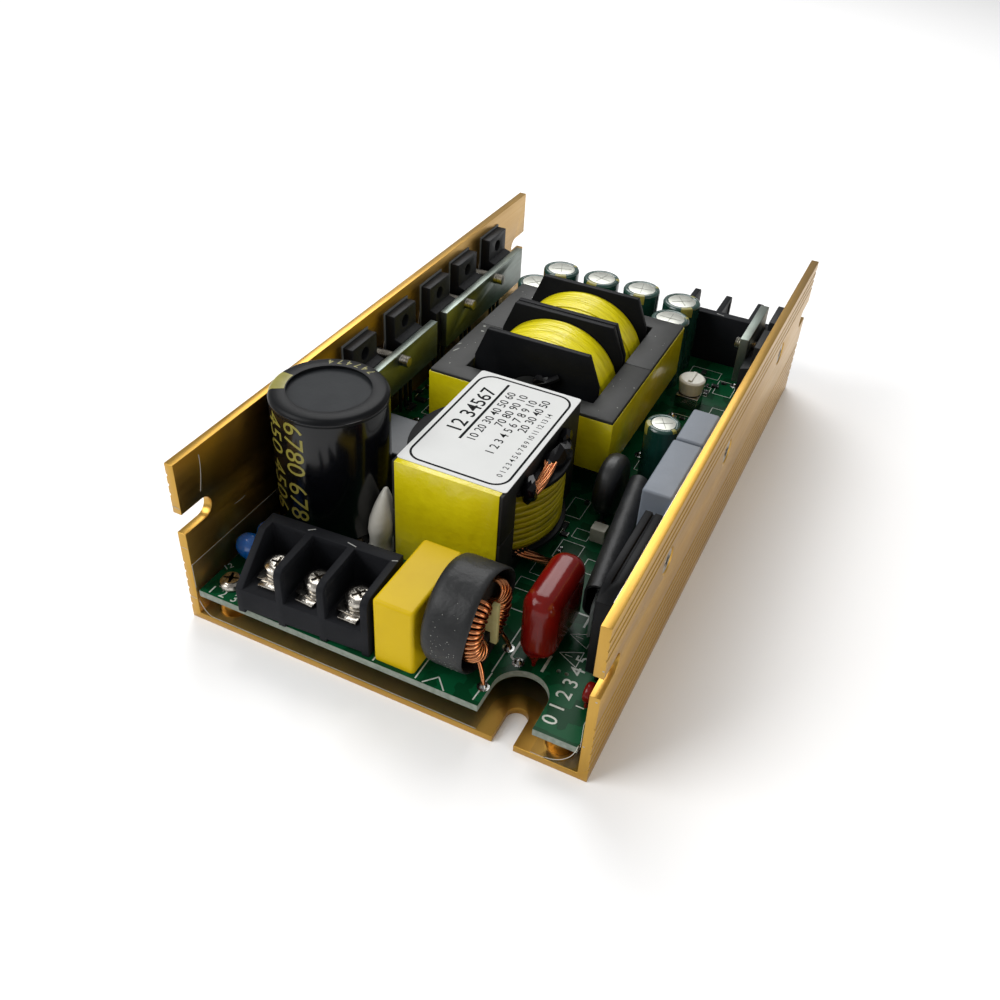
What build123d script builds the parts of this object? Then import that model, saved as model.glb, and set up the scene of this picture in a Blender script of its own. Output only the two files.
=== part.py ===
from build123d import *
from math import cos, radians, sin
import os

os.makedirs("parts", exist_ok=True)

# Open-frame power supply. Millimetres, +Z up, +Y from the input terminals to the output ones.
# The origin is the centre of the housing's underside.

# Housing: one extruded channel, open at both ends and at the top
wall = 2.0
base = 1.6
housing_height = 40.0
groove_radius = 0.45
groove_depth = 0.25
groove_pitch = 2.3
upper_groove_drop = 2.8
upper_groove_count = 3
lower_groove_height = 3.5
lower_groove_count = 6

# Slots that open at the wall ends and at the front of the base
wall_slot_width = 5.0
wall_slot_depth = 8.5
wall_slot_height = 25.6
base_slot_width = 4.5
base_slot_depth = 8.75
base_slot_inset = 15.3

# Screws through the walls, by their distance from the front of the housing
wall_screw_height = 28.2
wall_screw_radius = 1.4
wall_screw_head_radius = 3.0
wall_screw_stub = 2.6
front_left_screw = 72.3
middle_left_screw = 106.8
rear_left_screw = 124.4
front_spreader_screw = 33.7
rear_spreader_screw = 74.8
rear_bar_screw = 124.3

# Film that lines the channel under the board
film = 0.25
film_gap = 0.05
film_height = 15.1
film_corner = 2.2
film_hole_gap = 0.4

# Board, its notch over the base slot and what it stands on
board_thickness = 1.6
board_side_gap = 0.7
board_end_gap = 0.2
notch_width = 11.3
notch_depth = 12.2
test_hole_radius = 0.45
test_hole_setback = 15.2
test_hole_offsets = (4.3, 6.0)
standoff_height = 5.1
standoff_radius = 3.0
corner_inset = 4.7
board_screw_radius = 1.45
board_screw_length = 5.0
board_screw_head_radius = 2.7
board_screw_head = 1.9
board_screw_round = 0.8

# Clearances used throughout
thread_gap = 0.05
hole_gap = 0.15
touch_gap = 0.1
fillet_share = 0.8
top_fillet_share = 0.95
disc_fillet_share = 0.42

# Barrier terminal blocks, one at each end
block_pitch = 9.4
block_ways = 3
block_divider = 1.6
divider_rim = 1.5
divider_recess = 0.35
divider_round = 2.0
block_depth = 15.0
block_ledge = 6.36
block_height = 14.7
block_back = 2.6
block_foot_width = 1.6
block_foot_height = 0.9
block_foot_depth = 1.6
block_lead = 0.69
input_turn = 3.0
output_overhang = 3.4
plate = 0.9
plate_gap = 0.35
plate_front = 3.4
plate_length = 7.6
tab_width = 4.2
tab_length = 2.0
terminal_screw_setback = 7.4
terminal_screw_radius = 1.7
terminal_screw_length = 4.0
terminal_head_radius = 3.0
terminal_head = 2.6
terminal_head_round = 0.9

# Front row, from the left edge of the board to the right wall
input_inset = 10.64
x_capacitor_gap = 0.9
x_capacitor_width = 8.8
x_capacitor_length = 20.0
x_capacitor_height = 15.9
x_capacitor_setback = 1.0
x_capacitor_round = 0.8
choke_gap = 1.2
choke_width = 11.6
choke_radius = 10.9
choke_lift = 0.3
choke_sleeve = 0.7
choke_sleeve_round = 3.0
choke_lip = 2.6
film_capacitor_gap = 2.7
film_capacitor_width = 7.5
film_capacitor_length = 18.0
film_capacitor_height = 15.5
film_capacitor_lift = 2.2
film_capacitor_setback = 12.8
film_capacitor_round = 3.4
film_capacitor_leads = 15.0
fuse_gap = 0.2
fuse_sleeve_width = 4.8
fuse_sleeve_height = 8.5
fuse_sleeve_wall = 0.5
fuse_sleeve_centre = 8.2
fuse_sleeve_setback = 28.3
fuse_sleeve_reach = 38.5
fuse_rear_inset = 14.4
fuse_length = 15.0
bridge_gap = 1.6
bridge_width = 3.6
bridge_length = 26.0
bridge_height = 21.0
bridge_lift = 3.7
bridge_setback = 14.3
bridge_chamfer_length = 4.0
bridge_chamfer_height = 2.6
spreader = 2.0
spreader_setback = 13.3
spreader_top = 32.7
spreader_bottom = 15.6

# Main column, from the front edge of the board to the rear
inductor_setback = 28.6
inductor_length = 40.5
transformer_gap = 1.3
transformer_length = 52.9
rear_column_gap = 0.75
rear_capacitor_diameter = 10.3
rear_capacitor_pitch = 11.2
output_block_gap = 0.45

# Choke inside its sleeve
choke_overhang = 0.2
ring_outer = 8.0
ring_inner = 4.4
ring_width = 6.0
choke_wire = 1.3
winding_gap = 44.0
front_choke_lead = -4.9
rear_choke_lead = 5.3
choke_lead_drop = 5.4
choke_lead_gap = 0.1
choke_plate = 1.0
choke_plate_waist = 4.6
choke_plate_flange = 1.4
choke_plate_height = 10.0

# Small parts on leads
lead_radius = 0.4
thermistor_gap = 0.6
thermistor_y = 65.2
thermistor_height = 8.7
thermistor_diameter = 14.5
thermistor_thickness = 5.0
thermistor_leads = 7.5
y_capacitor_spots = ((3.9, 12.9, 8.0), (4.9, 18.0, 8.0))
y_capacitor_lift = 4.2
y_capacitor_diameter = 7.4
y_capacitor_thickness = 4.4
y_capacitor_leads = 5.0
red_capacitor_inset = 1.0
red_capacitor_setback = 10.8
red_capacitor_lift = 2.6
red_capacitor_diameter = 4.2
red_capacitor_thickness = 2.0
red_capacitor_leads = 2.5
box_x = 66.55
box_y = 55.8
box_width = 3.5
box_length = 3.0
box_height = 3.7
box_round = 0.3
fuse_lead_overhang = 1.6
fuse_lead_bend = 1.2

# Legs of flat packages
leg_thickness = 0.6
leg_width = 0.9
bridge_groove = 0.5
bridge_leg_pitch = 7.0
bridge_legs = 4
bridge_leg_width = 1.4

# Power devices in caps on the right wall
front_cap_setback = 46.2
front_cap_length = 20.4
front_cap_width = 6.5
front_device_length = 15.8
rear_cap_setback = 67.3
rear_cap_length = 13.1
rear_cap_width = 6.2
rear_device_length = 10.4
cap_bottom = 14.0
cap_top = 33.0
cap_wall = 0.6
cap_round = 0.6
device_leg_pitch = 2.9
device_legs = 3

# Big capacitor, glue and relay
bulk_diameter = 25.0
bulk_height = 35.0
bulk_wall_gap = 0.4
bulk_setback = 20.5
bulk_sleeve = 0.3
bulk_rim = 1.0
bulk_vent_radius = 9.6
bulk_lip = 0.5
bulk_recess = 0.9
bulk_groove_height = 2.6
bulk_groove_width = 1.8
bulk_groove_depth = 0.7
glue_radius = 1.9
glue_gap = 0.4
glue_height = 15.5
glue_waist = 9.0
glue_foot = 1.5
glue_shoulder = 1.4
glue_tip = 0.6
glue_forward = 1.6
relay_inset = 7.3
relay_width = 16.3
relay_setback = 47.3
relay_length = 14.5
relay_height = 11.7
relay_round = 0.6

# Inductor
inductor_inset = 29.2
inductor_width = 25.1
inductor_height = 25.7
tape = 0.2
tape_inset = 0.7
core_plate = 4.0
core_window_radius = 18.2
core_post_radius = 7.0
bobbin_wall = 0.9
flange_gap = 0.4
inductor_winding_radius = 16.9
winding_bulge = 0.8

# Transformer
transformer_inset = 14.8
transformer_width = 47.1
transformer_height = 15.2
transformer_lift = 6.0
transformer_yoke = 5.6
transformer_leg = 7.1
transformer_post_radius = 7.4
flange = 1.5
flange_clearance = 3.6
flange_shoulder = 31.0
flange_top = 38.7
flange_head = 26.0
middle_flange_gap = 0.4
winding_lift = 0.2
winding_side_gap = 0.55
winding_half_height = 14.35

# Packages on the walls, by their distance from the front of the housing
transistor_spots = (62.5, 81.15, 98.9, 114.7, 133.1)
rectifier_spots = (117.0, 131.75)
package_width = 10.4
package_height = 15.9
package_body = 9.3
package_step = 0.6
package_head = 2.6
package_hole = 1.6
package_hole_drop = 3.2
package_leg_inset = 2.4
package_leg_pitch = 2.54
transistor_thickness = 4.5
transistor_bottom = 21.0
rectifier_thickness = 4.9
rectifier_bottom = 18.8
pad = 0.3
pad_margin = 0.5
left_bar_bottom = 20.3
left_bar_depth = 2.0
front_bar_start = 59.5
front_bar_end = 90.5
rear_bar_start = 95.5
rear_bar_end = 142.0
right_bar_start = 117.0
right_bar_end = 138.0
right_bar_bottom = 21.0
right_bar_top = 33.3
right_bar_depth = 2.2

# Rear capacitors, small capacitor and trimmer
can_rim = 0.6
can_recess = 0.3
can_chamfer = 0.2
rear_capacitor_height = 19.2
rear_row_inset = 19.1
rear_row_pitch = 12.3
far_row_stagger = (1.1, 1.6, 1.4, 0.0)
near_right_inset = 5.6
near_left_inset = 1.5
near_left_stagger = 0.6
small_capacitor_diameter = 8.3
small_capacitor_height = 17.7
small_capacitor_gap = 4.55
small_capacitor_side_gap = 2.3
small_capacitor_setback = 11.4
trimmer_width = 6.2
trimmer_height = 3.7
trimmer_gap = 2.1
trimmer_forward = 2.5
shaft_radius = 1.45
shaft_clearance = 0.05
shaft_length = 2.6
knob_gap = 0.3
knob_height = 4.2
knob_radius = 3.55
knob_foot_radius = 3.0
knob_rim = 0.5
knob_pointer = 1.0
knob_pointer_height = 0.5

# Widths and lengths that follow from the rows
block_width = block_ways * block_pitch + block_divider
input_row = input_inset + block_width * cos(radians(input_turn))
x_capacitor_start = input_row + x_capacitor_gap
choke_start = x_capacitor_start + x_capacitor_width + choke_gap
film_capacitor_start = choke_start + choke_width + film_capacitor_gap
fuse_start = film_capacitor_start + film_capacitor_width + fuse_gap
bridge_start = fuse_start + fuse_sleeve_width + bridge_gap
small_capacitor_start = transformer_inset + transformer_width + small_capacitor_gap
cap_start = small_capacitor_start + small_capacitor_diameter + small_capacitor_side_gap
inner_width = board_side_gap + max(bridge_start + bridge_width, cap_start + rear_cap_width) + spreader
housing_width = inner_width + 2 * wall
transformer_setback = inductor_setback + inductor_length + transformer_gap
near_row_setback = transformer_setback + transformer_length + rear_column_gap + rear_capacitor_diameter / 2
far_row_setback = near_row_setback + rear_capacitor_pitch
output_setback = far_row_setback + rear_capacitor_diameter / 2 + output_block_gap + block_depth
board_length = output_setback - output_overhang
housing_length = board_length + 2 * board_end_gap

outer_right = housing_width / 2
inner_right = inner_width / 2
inner_left = -inner_right
housing_front = -housing_length / 2
housing_rear = housing_length / 2
board_left = inner_left + board_side_gap
transformer_left = board_left + transformer_inset
transformer_right = transformer_left + transformer_width
board_right = inner_right - board_side_gap
board_front = housing_front + board_end_gap
board_rear = board_front + board_length
board_bottom = base + standoff_height
board_top = board_bottom + board_thickness
slot_x = inner_right - base_slot_inset
spreader_left = inner_right - spreader

UPRIGHT = (Align.CENTER, Align.CENTER, Align.MIN)
HANGING = (Align.CENTER, Align.CENTER, Align.MAX)


def finish(piece, name):
    """Label a finished piece and write it under its name."""
    piece.part.label = name
    export_step(piece.part, f"parts/{name}.step")


def across(y):
    """Plane that faces the front at y, with X to the right and Z up."""
    return Plane.XZ.offset(-y)


def along(x):
    """Plane that faces the right at x, with Y to the right and Z up."""
    return Plane.YZ.offset(x)


def level(z):
    """Plane that faces up at z."""
    return Plane.XY.offset(z)


def leads(spots, top, radius):
    """Round leads from the board's top face up into a body, inside an open part."""
    with BuildSketch(level(board_top)) as feet:
        with Locations(*spots):
            Circle(radius)
    extrude(feet.sketch, amount=top - board_top)


def block_body(x, y, z, size, rounding):
    """Box on z with its vertical and top edges rounded, centred at x and y, inside an open part."""
    with BuildSketch(level(z)) as outline:
        with Locations((x, y)):
            RectangleRounded(size[0], size[1], rounding)
    body = extrude(outline.sketch, amount=size[2])
    fillet(body.faces().sort_by(Axis.Z)[-1].edges(), top_fillet_share * rounding)


# Housing
left_screws = (front_left_screw, middle_left_screw, rear_left_screw)
right_screws = (front_spreader_screw, rear_spreader_screw, rear_bar_screw)
wall_screws = [(-1, distance) for distance in left_screws] + [(1, distance) for distance in right_screws]
upper_grooves = [housing_height - upper_groove_drop - i * groove_pitch for i in range(upper_groove_count)]
lower_grooves = [lower_groove_height + i * groove_pitch for i in range(lower_groove_count)]
groove_centre = outer_right + groove_radius - groove_depth


def screw_plane(side, distance):
    """Plane on the outside of a wall at a screw, facing out."""
    spot = (side * outer_right, housing_front + distance, wall_screw_height)
    return Plane(origin=spot, x_dir=(0, 1, 0), z_dir=(side, 0, 0))


with BuildPart() as housing:
    with BuildSketch(Plane.XZ):
        with Locations((0, housing_height / 2)):
            Rectangle(housing_width, housing_height)
        with Locations((0, base + housing_height / 2)):
            Rectangle(inner_width, housing_height, mode=Mode.SUBTRACT)
        for side in (-1, 1):
            with Locations(*[(side * groove_centre, z) for z in upper_grooves + lower_grooves]):
                Circle(groove_radius, mode=Mode.SUBTRACT)
    extrude(amount=housing_length / 2, both=True)
    with BuildSketch(Plane.YZ):
        with Locations((housing_front, wall_slot_height), (housing_rear, wall_slot_height)):
            SlotCenterToCenter(2 * wall_slot_depth - wall_slot_width, wall_slot_width)
    extrude(amount=housing_width, both=True, mode=Mode.SUBTRACT)
    with BuildSketch(Plane.XY):
        with Locations((slot_x, housing_front)):
            SlotCenterToCenter(2 * base_slot_depth - base_slot_width, base_slot_width, rotation=90)
    extrude(amount=base, mode=Mode.SUBTRACT)
    for side, distance in wall_screws:
        with Locations(screw_plane(side, distance)):
            CounterSinkHole(wall_screw_radius + hole_gap, wall_screw_head_radius + hole_gap, wall, 90)
finish(housing, "housing")

# Standoffs near the corners of the board. The left ones take screws, the right ones are pressed in.
corner_x = (board_left + corner_inset, board_right - corner_inset)
corner_y = (board_front + corner_inset, board_rear - corner_inset)
standoff_spots = [(x, y) for x in corner_x for y in corner_y]
board_screw_spots = [(corner_x[0], y) for y in corner_y]

with BuildPart() as standoffs:
    with BuildSketch(level(base)):
        with Locations(*standoff_spots):
            Circle(standoff_radius)
            Circle(board_screw_radius + thread_gap, mode=Mode.SUBTRACT)
    extrude(amount=standoff_height)
finish(standoffs, "board_standoffs")

# Film: a channel inside the channel, cut away round the standoffs and the slot
film_edge = inner_right - film_gap
film_floor = base + film_gap


def film_line(inset):
    """One side of the film, from the top of one flange to the other, inside an open line."""
    edge = film_edge - inset
    floor = film_floor + inset
    corners = ((-edge, film_height), (-edge, floor), (edge, floor), (edge, film_height))
    return FilletPolyline(*corners, radius=film_corner - inset)


with BuildPart() as insulating_film:
    with BuildSketch(Plane.XZ):
        with BuildLine():
            outside = film_line(0)
            inside = film_line(film)
            Line(outside @ 0, inside @ 0)
            Line(outside @ 1, inside @ 1)
        make_face()
    extrude(amount=housing_length / 2, both=True)
    with BuildSketch(level(base)):
        with Locations(*standoff_spots):
            Circle(standoff_radius + film_hole_gap)
        with Locations((slot_x, housing_front)):
            SlotCenterToCenter(2 * base_slot_depth - base_slot_width, notch_width, rotation=90)
    extrude(amount=film_corner, mode=Mode.SUBTRACT)
finish(insulating_film, "insulating_film")

# Board, with a round notch over the slot and two small holes behind it
with BuildPart() as circuit_board:
    with BuildSketch(level(board_bottom)):
        with Locations(((board_left + board_right) / 2, (board_front + board_rear) / 2)):
            Rectangle(board_right - board_left, board_length)
        with Locations((slot_x, board_front)):
            SlotCenterToCenter(2 * notch_depth - notch_width, notch_width, rotation=90, mode=Mode.SUBTRACT)
        with Locations(*board_screw_spots):
            Circle(board_screw_radius + hole_gap, mode=Mode.SUBTRACT)
        with Locations(*[(slot_x + offset, board_front + test_hole_setback) for offset in test_hole_offsets]):
            Circle(test_hole_radius, mode=Mode.SUBTRACT)
    extrude(amount=board_thickness)
finish(circuit_board, "circuit_board")

with BuildPart() as board_screws:
    with Locations(*[(x, y, board_top) for x, y in board_screw_spots]):
        Cylinder(board_screw_head_radius, board_screw_head, align=UPRIGHT)
    fillet(board_screws.edges().group_by(Axis.Z)[-1], board_screw_round)
    with Locations(*[(x, y, board_top) for x, y in board_screw_spots]):
        Cylinder(board_screw_radius, board_screw_length, align=HANGING)
finish(board_screws, "board_screws")


# Barrier terminal blocks. A block is drawn from its front corner on the board's top face.
def block_side(place, offset):
    """Plane across a block at an offset along its width, with its x towards the block's back."""
    corner = place.from_local_coords((offset, 0, 0))
    return Plane(origin=corner, x_dir=place.y_dir, z_dir=place.x_dir)


def block_spots(place, height):
    """Centres of a block's screws at a height over the board."""
    middles = [block_divider + (way + 0.5) * block_pitch - block_divider / 2 for way in range(block_ways)]
    return [place.from_local_coords((middle, terminal_screw_setback, height)) for middle in middles]


def terminal_block(place):
    """Body of a block: stepped base, back wall, dividers with a raised rim and one sloping end wall."""
    wall_front = block_depth - block_back
    divider_sides = [block_side(place, way * block_pitch) for way in range(1, block_ways + 1)]
    with BuildPart() as block:
        with BuildSketch(block_side(place, 0)):
            with BuildLine():
                Polyline(
                    (0, 0),
                    (block_depth, 0),
                    (block_depth, block_height),
                    (wall_front, block_height),
                    (wall_front, block_ledge),
                    (0, block_ledge),
                    close=True,
                )
            make_face()
        extrude(amount=block_width)
        with BuildSketch(block_side(place, 0)):
            with BuildLine():
                Polyline(
                    (0, block_ledge),
                    (wall_front, block_ledge),
                    (wall_front, block_height),
                    (wall_front - block_back, block_height),
                    close=True,
                )
            make_face()
        extrude(amount=block_divider)
        with BuildSketch(*divider_sides) as divider:
            with Locations((0, block_ledge)):
                Rectangle(wall_front, block_height - block_ledge, align=(Align.MIN, Align.MIN))
            fillet(divider.vertices().sort_by(Axis.X)[:2].sort_by(Axis.Y)[-1:], divider_round)
        extrude(amount=block_divider)
        recess_length = wall_front - divider_rim
        recess_height = block_height - block_ledge - divider_rim
        for side in divider_sides[:-1]:
            for face in (side, side.offset(block_divider - divider_recess)):
                with BuildSketch(face):
                    with Locations((divider_rim, block_ledge)):
                        Rectangle(recess_length, recess_height, align=(Align.MIN, Align.MIN))
                extrude(amount=divider_recess, mode=Mode.SUBTRACT)
        foot_gap = block_pitch - block_foot_width
        with BuildSketch(place):
            for way in range(block_ways):
                with Locations((block_foot_width + way * block_pitch, 0)):
                    Rectangle(foot_gap, block_foot_depth, align=(Align.MIN, Align.MIN))
        extrude(amount=block_foot_height, mode=Mode.SUBTRACT)
        for spot in block_spots(place, block_ledge):
            with Locations(spot):
                Cylinder(
                    terminal_screw_radius + thread_gap,
                    terminal_screw_length + touch_gap,
                    align=HANGING,
                    mode=Mode.SUBTRACT,
                )
    return block


input_place = Plane(
    origin=(board_left + input_inset, housing_front - block_lead, board_top),
    x_dir=(cos(radians(input_turn)), sin(radians(input_turn)), 0),
)
output_place = Plane(
    origin=(board_right, board_front + output_setback, board_top),
    x_dir=(-1, 0, 0),
)
finish(terminal_block(input_place), "input_terminal_block")
finish(terminal_block(output_place), "output_terminal_block")

# Wire plates under the terminal screws, each with a tab to the front of its cell
cell_width = block_pitch - block_divider
with BuildPart() as terminal_plates:
    for place in (input_place, output_place):
        for spot in block_spots(place, block_ledge):
            with BuildSketch(Plane(origin=spot, x_dir=place.x_dir)):
                with Locations((0, plate_front - terminal_screw_setback)):
                    Rectangle(cell_width - 2 * plate_gap, plate_length, align=(Align.CENTER, Align.MIN))
                    Rectangle(tab_width, tab_length, align=(Align.CENTER, Align.MAX))
                Circle(terminal_screw_radius + hole_gap, mode=Mode.SUBTRACT)
            extrude(amount=plate)
finish(terminal_plates, "terminal_plates")

with BuildPart() as terminal_screws:
    for place in (input_place, output_place):
        for spot in block_spots(place, block_ledge + plate):
            with Locations(spot):
                Cylinder(terminal_head_radius, terminal_head, align=UPRIGHT)
    fillet(terminal_screws.edges().group_by(Axis.Z)[-1], terminal_head_round)
    for place in (input_place, output_place):
        for spot in block_spots(place, block_ledge + plate):
            with Locations(spot):
                Cylinder(terminal_screw_radius, terminal_screw_length, align=HANGING)
finish(terminal_screws, "terminal_screws")

# Front row: box capacitor
with BuildPart() as x_capacitor:
    block_body(
        board_left + x_capacitor_start + x_capacitor_width / 2,
        board_front + x_capacitor_setback + x_capacitor_length / 2,
        board_top,
        (x_capacitor_width, x_capacitor_length, x_capacitor_height),
        x_capacitor_round,
    )
finish(x_capacitor, "x_capacitor")

# Choke: ring core, two windings, a black sleeve round the outside and a plate between the windings
choke_left = board_left + choke_start
choke_right = choke_left + choke_width
choke_middle = choke_left + choke_width / 2
choke_y = board_front + choke_radius - choke_overhang
choke_z = board_top + choke_lift + choke_radius
choke_axis = Axis((choke_middle, choke_y, choke_z), (1, 0, 0))
ring_middle = (ring_inner + ring_outer) / 2


def choke_slice(turn):
    """Plane through the choke's axis, turned from upright towards the front."""
    angle = radians(turn)
    return Plane(
        origin=(choke_middle, choke_y, choke_z),
        x_dir=(1, 0, 0),
        z_dir=(0, -cos(angle), -sin(angle)),
    )


def ring_section(grow):
    """Section of the ring core grown on all sides, inside an open sketch on a slice."""
    with Locations((0, ring_middle)):
        Rectangle(ring_width + 2 * grow, ring_outer - ring_inner + 2 * grow)


with BuildPart() as choke_core:
    with BuildSketch(choke_slice(0)):
        ring_section(0)
    revolve(axis=choke_axis)
finish(choke_core, "choke_core")

with BuildPart() as choke_windings:
    for start, lead_y in ((winding_gap / 2, front_choke_lead), (180 + winding_gap / 2, rear_choke_lead)):
        with BuildSketch(choke_slice(start)) as winding_section:
            ring_section(choke_wire)
            fillet(winding_section.vertices(), fillet_share * choke_wire)
            with Locations((0, ring_middle)):
                Rectangle(
                    ring_width + 2 * thread_gap,
                    ring_outer - ring_inner + 2 * thread_gap,
                    mode=Mode.SUBTRACT,
                )
        revolve(axis=choke_axis, revolution_arc=180 - winding_gap)
        lead_out = choke_right + choke_lead_gap + choke_wire / 2
        lead_z = choke_z - choke_lead_drop
        with BuildLine():
            lead_path = FilletPolyline(
                (choke_middle + ring_width / 2 + choke_wire / 2, choke_y + lead_y, lead_z),
                (lead_out, choke_y + lead_y, lead_z),
                (lead_out, choke_y + lead_y, board_top),
                radius=choke_wire,
            )
        with BuildSketch(Plane(origin=lead_path @ 0, z_dir=lead_path % 0)):
            Circle(choke_wire / 2)
        sweep(path=lead_path)
finish(choke_windings, "choke_windings")

with BuildPart() as choke_cover:
    with BuildSketch(choke_slice(0)):
        with Locations((0, choke_radius - choke_sleeve_round)):
            RectangleRounded(choke_width, 2 * choke_sleeve_round + touch_gap, choke_sleeve_round)
            RectangleRounded(
                choke_width - 2 * choke_sleeve,
                2 * (choke_sleeve_round - choke_sleeve) + touch_gap,
                choke_sleeve_round - choke_sleeve,
                mode=Mode.SUBTRACT,
            )
        with Locations((0, choke_radius - choke_lip)):
            Rectangle(
                choke_width,
                2 * choke_sleeve_round,
                align=(Align.CENTER, Align.MAX),
                mode=Mode.SUBTRACT,
            )
    revolve(axis=choke_axis)
finish(choke_cover, "choke_sleeve")

with BuildPart() as choke_divider:
    with BuildSketch(across(choke_y)):
        with Locations((choke_middle, choke_z)):
            Rectangle(choke_width - 2 * touch_gap, choke_plate_waist)
            for side in (-1, 1):
                with Locations((side * (choke_width - choke_plate_flange) / 2, 0)):
                    Rectangle(choke_plate_flange, choke_plate_height)
    extrude(amount=choke_plate / 2, both=True)
finish(choke_divider, "choke_divider")

# Film capacitor on two leads
film_capacitor_x = board_left + film_capacitor_start + film_capacitor_width / 2
film_capacitor_y = board_front + film_capacitor_setback + film_capacitor_length / 2
with BuildPart() as film_capacitor:
    block_body(
        film_capacitor_x,
        film_capacitor_y,
        board_top + film_capacitor_lift,
        (film_capacitor_width, film_capacitor_length, film_capacitor_height),
        film_capacitor_round,
    )
    fillet(film_capacitor.faces().sort_by(Axis.Z)[0].edges(), fillet_share * film_capacitor_round)
    lead_spots = [(film_capacitor_x, film_capacitor_y + side * film_capacitor_leads / 2) for side in (-1, 1)]
    leads(lead_spots, board_top + film_capacitor_lift + film_capacitor_round, lead_radius)
finish(film_capacitor, "film_capacitor")


def coated_disc(place, diameter, thickness, lead_spacing):
    """Dipped disc standing on edge on two leads. The plane's x runs across the leads."""
    with BuildPart() as disc:
        with BuildSketch(place):
            Circle(diameter / 2)
        extrude(amount=thickness / 2, both=True)
        fillet(disc.edges().filter_by(GeomType.CIRCLE), disc_fillet_share * thickness)
        spots = [place.from_local_coords((side * lead_spacing / 2, 0, 0)) for side in (-1, 1)]
        leads([(spot.X, spot.Y) for spot in spots], place.origin.Z, lead_radius)
    return disc


def upright_plane(x, y, z, turn):
    """Upright plane at a point over the board, its x turned from the right towards the rear."""
    angle = radians(turn)
    return Plane(origin=(x, y, z), x_dir=(cos(angle), sin(angle), 0), z_dir=(sin(angle), -cos(angle), 0))


# Thermistor, and the two small blue capacitors beside the input block
thermistor_place = upright_plane(
    transformer_right + thermistor_gap + thermistor_thickness / 2,
    board_front + thermistor_y,
    board_top + thermistor_height,
    90,
)
finish(
    coated_disc(thermistor_place, thermistor_diameter, thermistor_thickness, thermistor_leads),
    "thermistor",
)

with BuildPart() as y_capacitors:
    for x, y, turn in y_capacitor_spots:
        place = upright_plane(board_left + x, board_front + y, board_top + y_capacitor_lift, turn)
        add(coated_disc(place, y_capacitor_diameter, y_capacitor_thickness, y_capacitor_leads).part)
finish(y_capacitors, "y_capacitors")

red_place = upright_plane(
    spreader_left - red_capacitor_inset,
    board_front + red_capacitor_setback,
    board_top + red_capacitor_lift,
    90,
)
finish(
    coated_disc(red_place, red_capacitor_diameter, red_capacitor_thickness, red_capacitor_leads),
    "red_capacitor",
)

# Small box part behind the choke
with BuildPart() as box_part:
    box_size = (box_width, box_length, box_height)
    block_body(board_left + box_x, board_front + box_y, board_top, box_size, box_round)
finish(box_part, "box_capacitor")

# Fuse on long leads inside a flat sleeve that slants to the rear
fuse_front = Vector(
    board_left + fuse_start + fuse_sleeve_width / 2,
    board_front + fuse_sleeve_setback,
    board_top + fuse_sleeve_centre,
)
fuse_rear = Vector(inner_right - fuse_rear_inset, fuse_front.Y + fuse_sleeve_reach, fuse_front.Z)
fuse_run = fuse_rear - fuse_front
fuse_place = Plane(origin=fuse_front, x_dir=(0, 0, 1), z_dir=fuse_run)
with BuildPart() as fuse_sleeve:
    with BuildSketch(fuse_place):
        SlotOverall(fuse_sleeve_height, fuse_sleeve_width)
        SlotOverall(
            fuse_sleeve_height - 2 * fuse_sleeve_wall,
            fuse_sleeve_width - 2 * fuse_sleeve_wall,
            mode=Mode.SUBTRACT,
        )
    extrude(amount=fuse_run.length)
finish(fuse_sleeve, "fuse_sleeve")

fuse_radius = fuse_sleeve_width / 2 - fuse_sleeve_wall - thread_gap
with BuildPart() as fuse:
    with BuildSketch(fuse_place.offset((fuse_run.length - fuse_length) / 2)):
        Circle(fuse_radius)
    extrude(amount=fuse_length)
    ahead = fuse_run.normalized() * fuse_lead_overhang
    ends = (fuse_front - ahead, fuse_rear + ahead)
    with BuildLine():
        fuse_path = FilletPolyline(
            (ends[0].X, ends[0].Y, board_top),
            ends[0],
            ends[1],
            (ends[1].X, ends[1].Y, board_top),
            radius=fuse_lead_bend,
        )
    with BuildSketch(Plane(origin=fuse_path @ 0, z_dir=fuse_path % 0)):
        Circle(lead_radius)
    sweep(path=fuse_path)
finish(fuse, "fuse")

# Heat spreader along the right wall
spreader_front = board_front + spreader_setback
spreader_rear = board_front + rear_cap_setback + rear_cap_length
spreader_screws = [housing_front + distance for distance in (front_spreader_screw, rear_spreader_screw)]
with BuildPart() as heat_spreader:
    with BuildSketch(along(spreader_left)):
        with Locations((spreader_front, spreader_bottom)):
            Rectangle(
                spreader_rear - spreader_front,
                spreader_top - spreader_bottom,
                align=(Align.MIN, Align.MIN),
            )
        with Locations(*[(y, wall_screw_height) for y in spreader_screws]):
            Circle(wall_screw_radius + thread_gap, mode=Mode.SUBTRACT)
    extrude(amount=spreader)
finish(heat_spreader, "heat_spreader")

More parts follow.
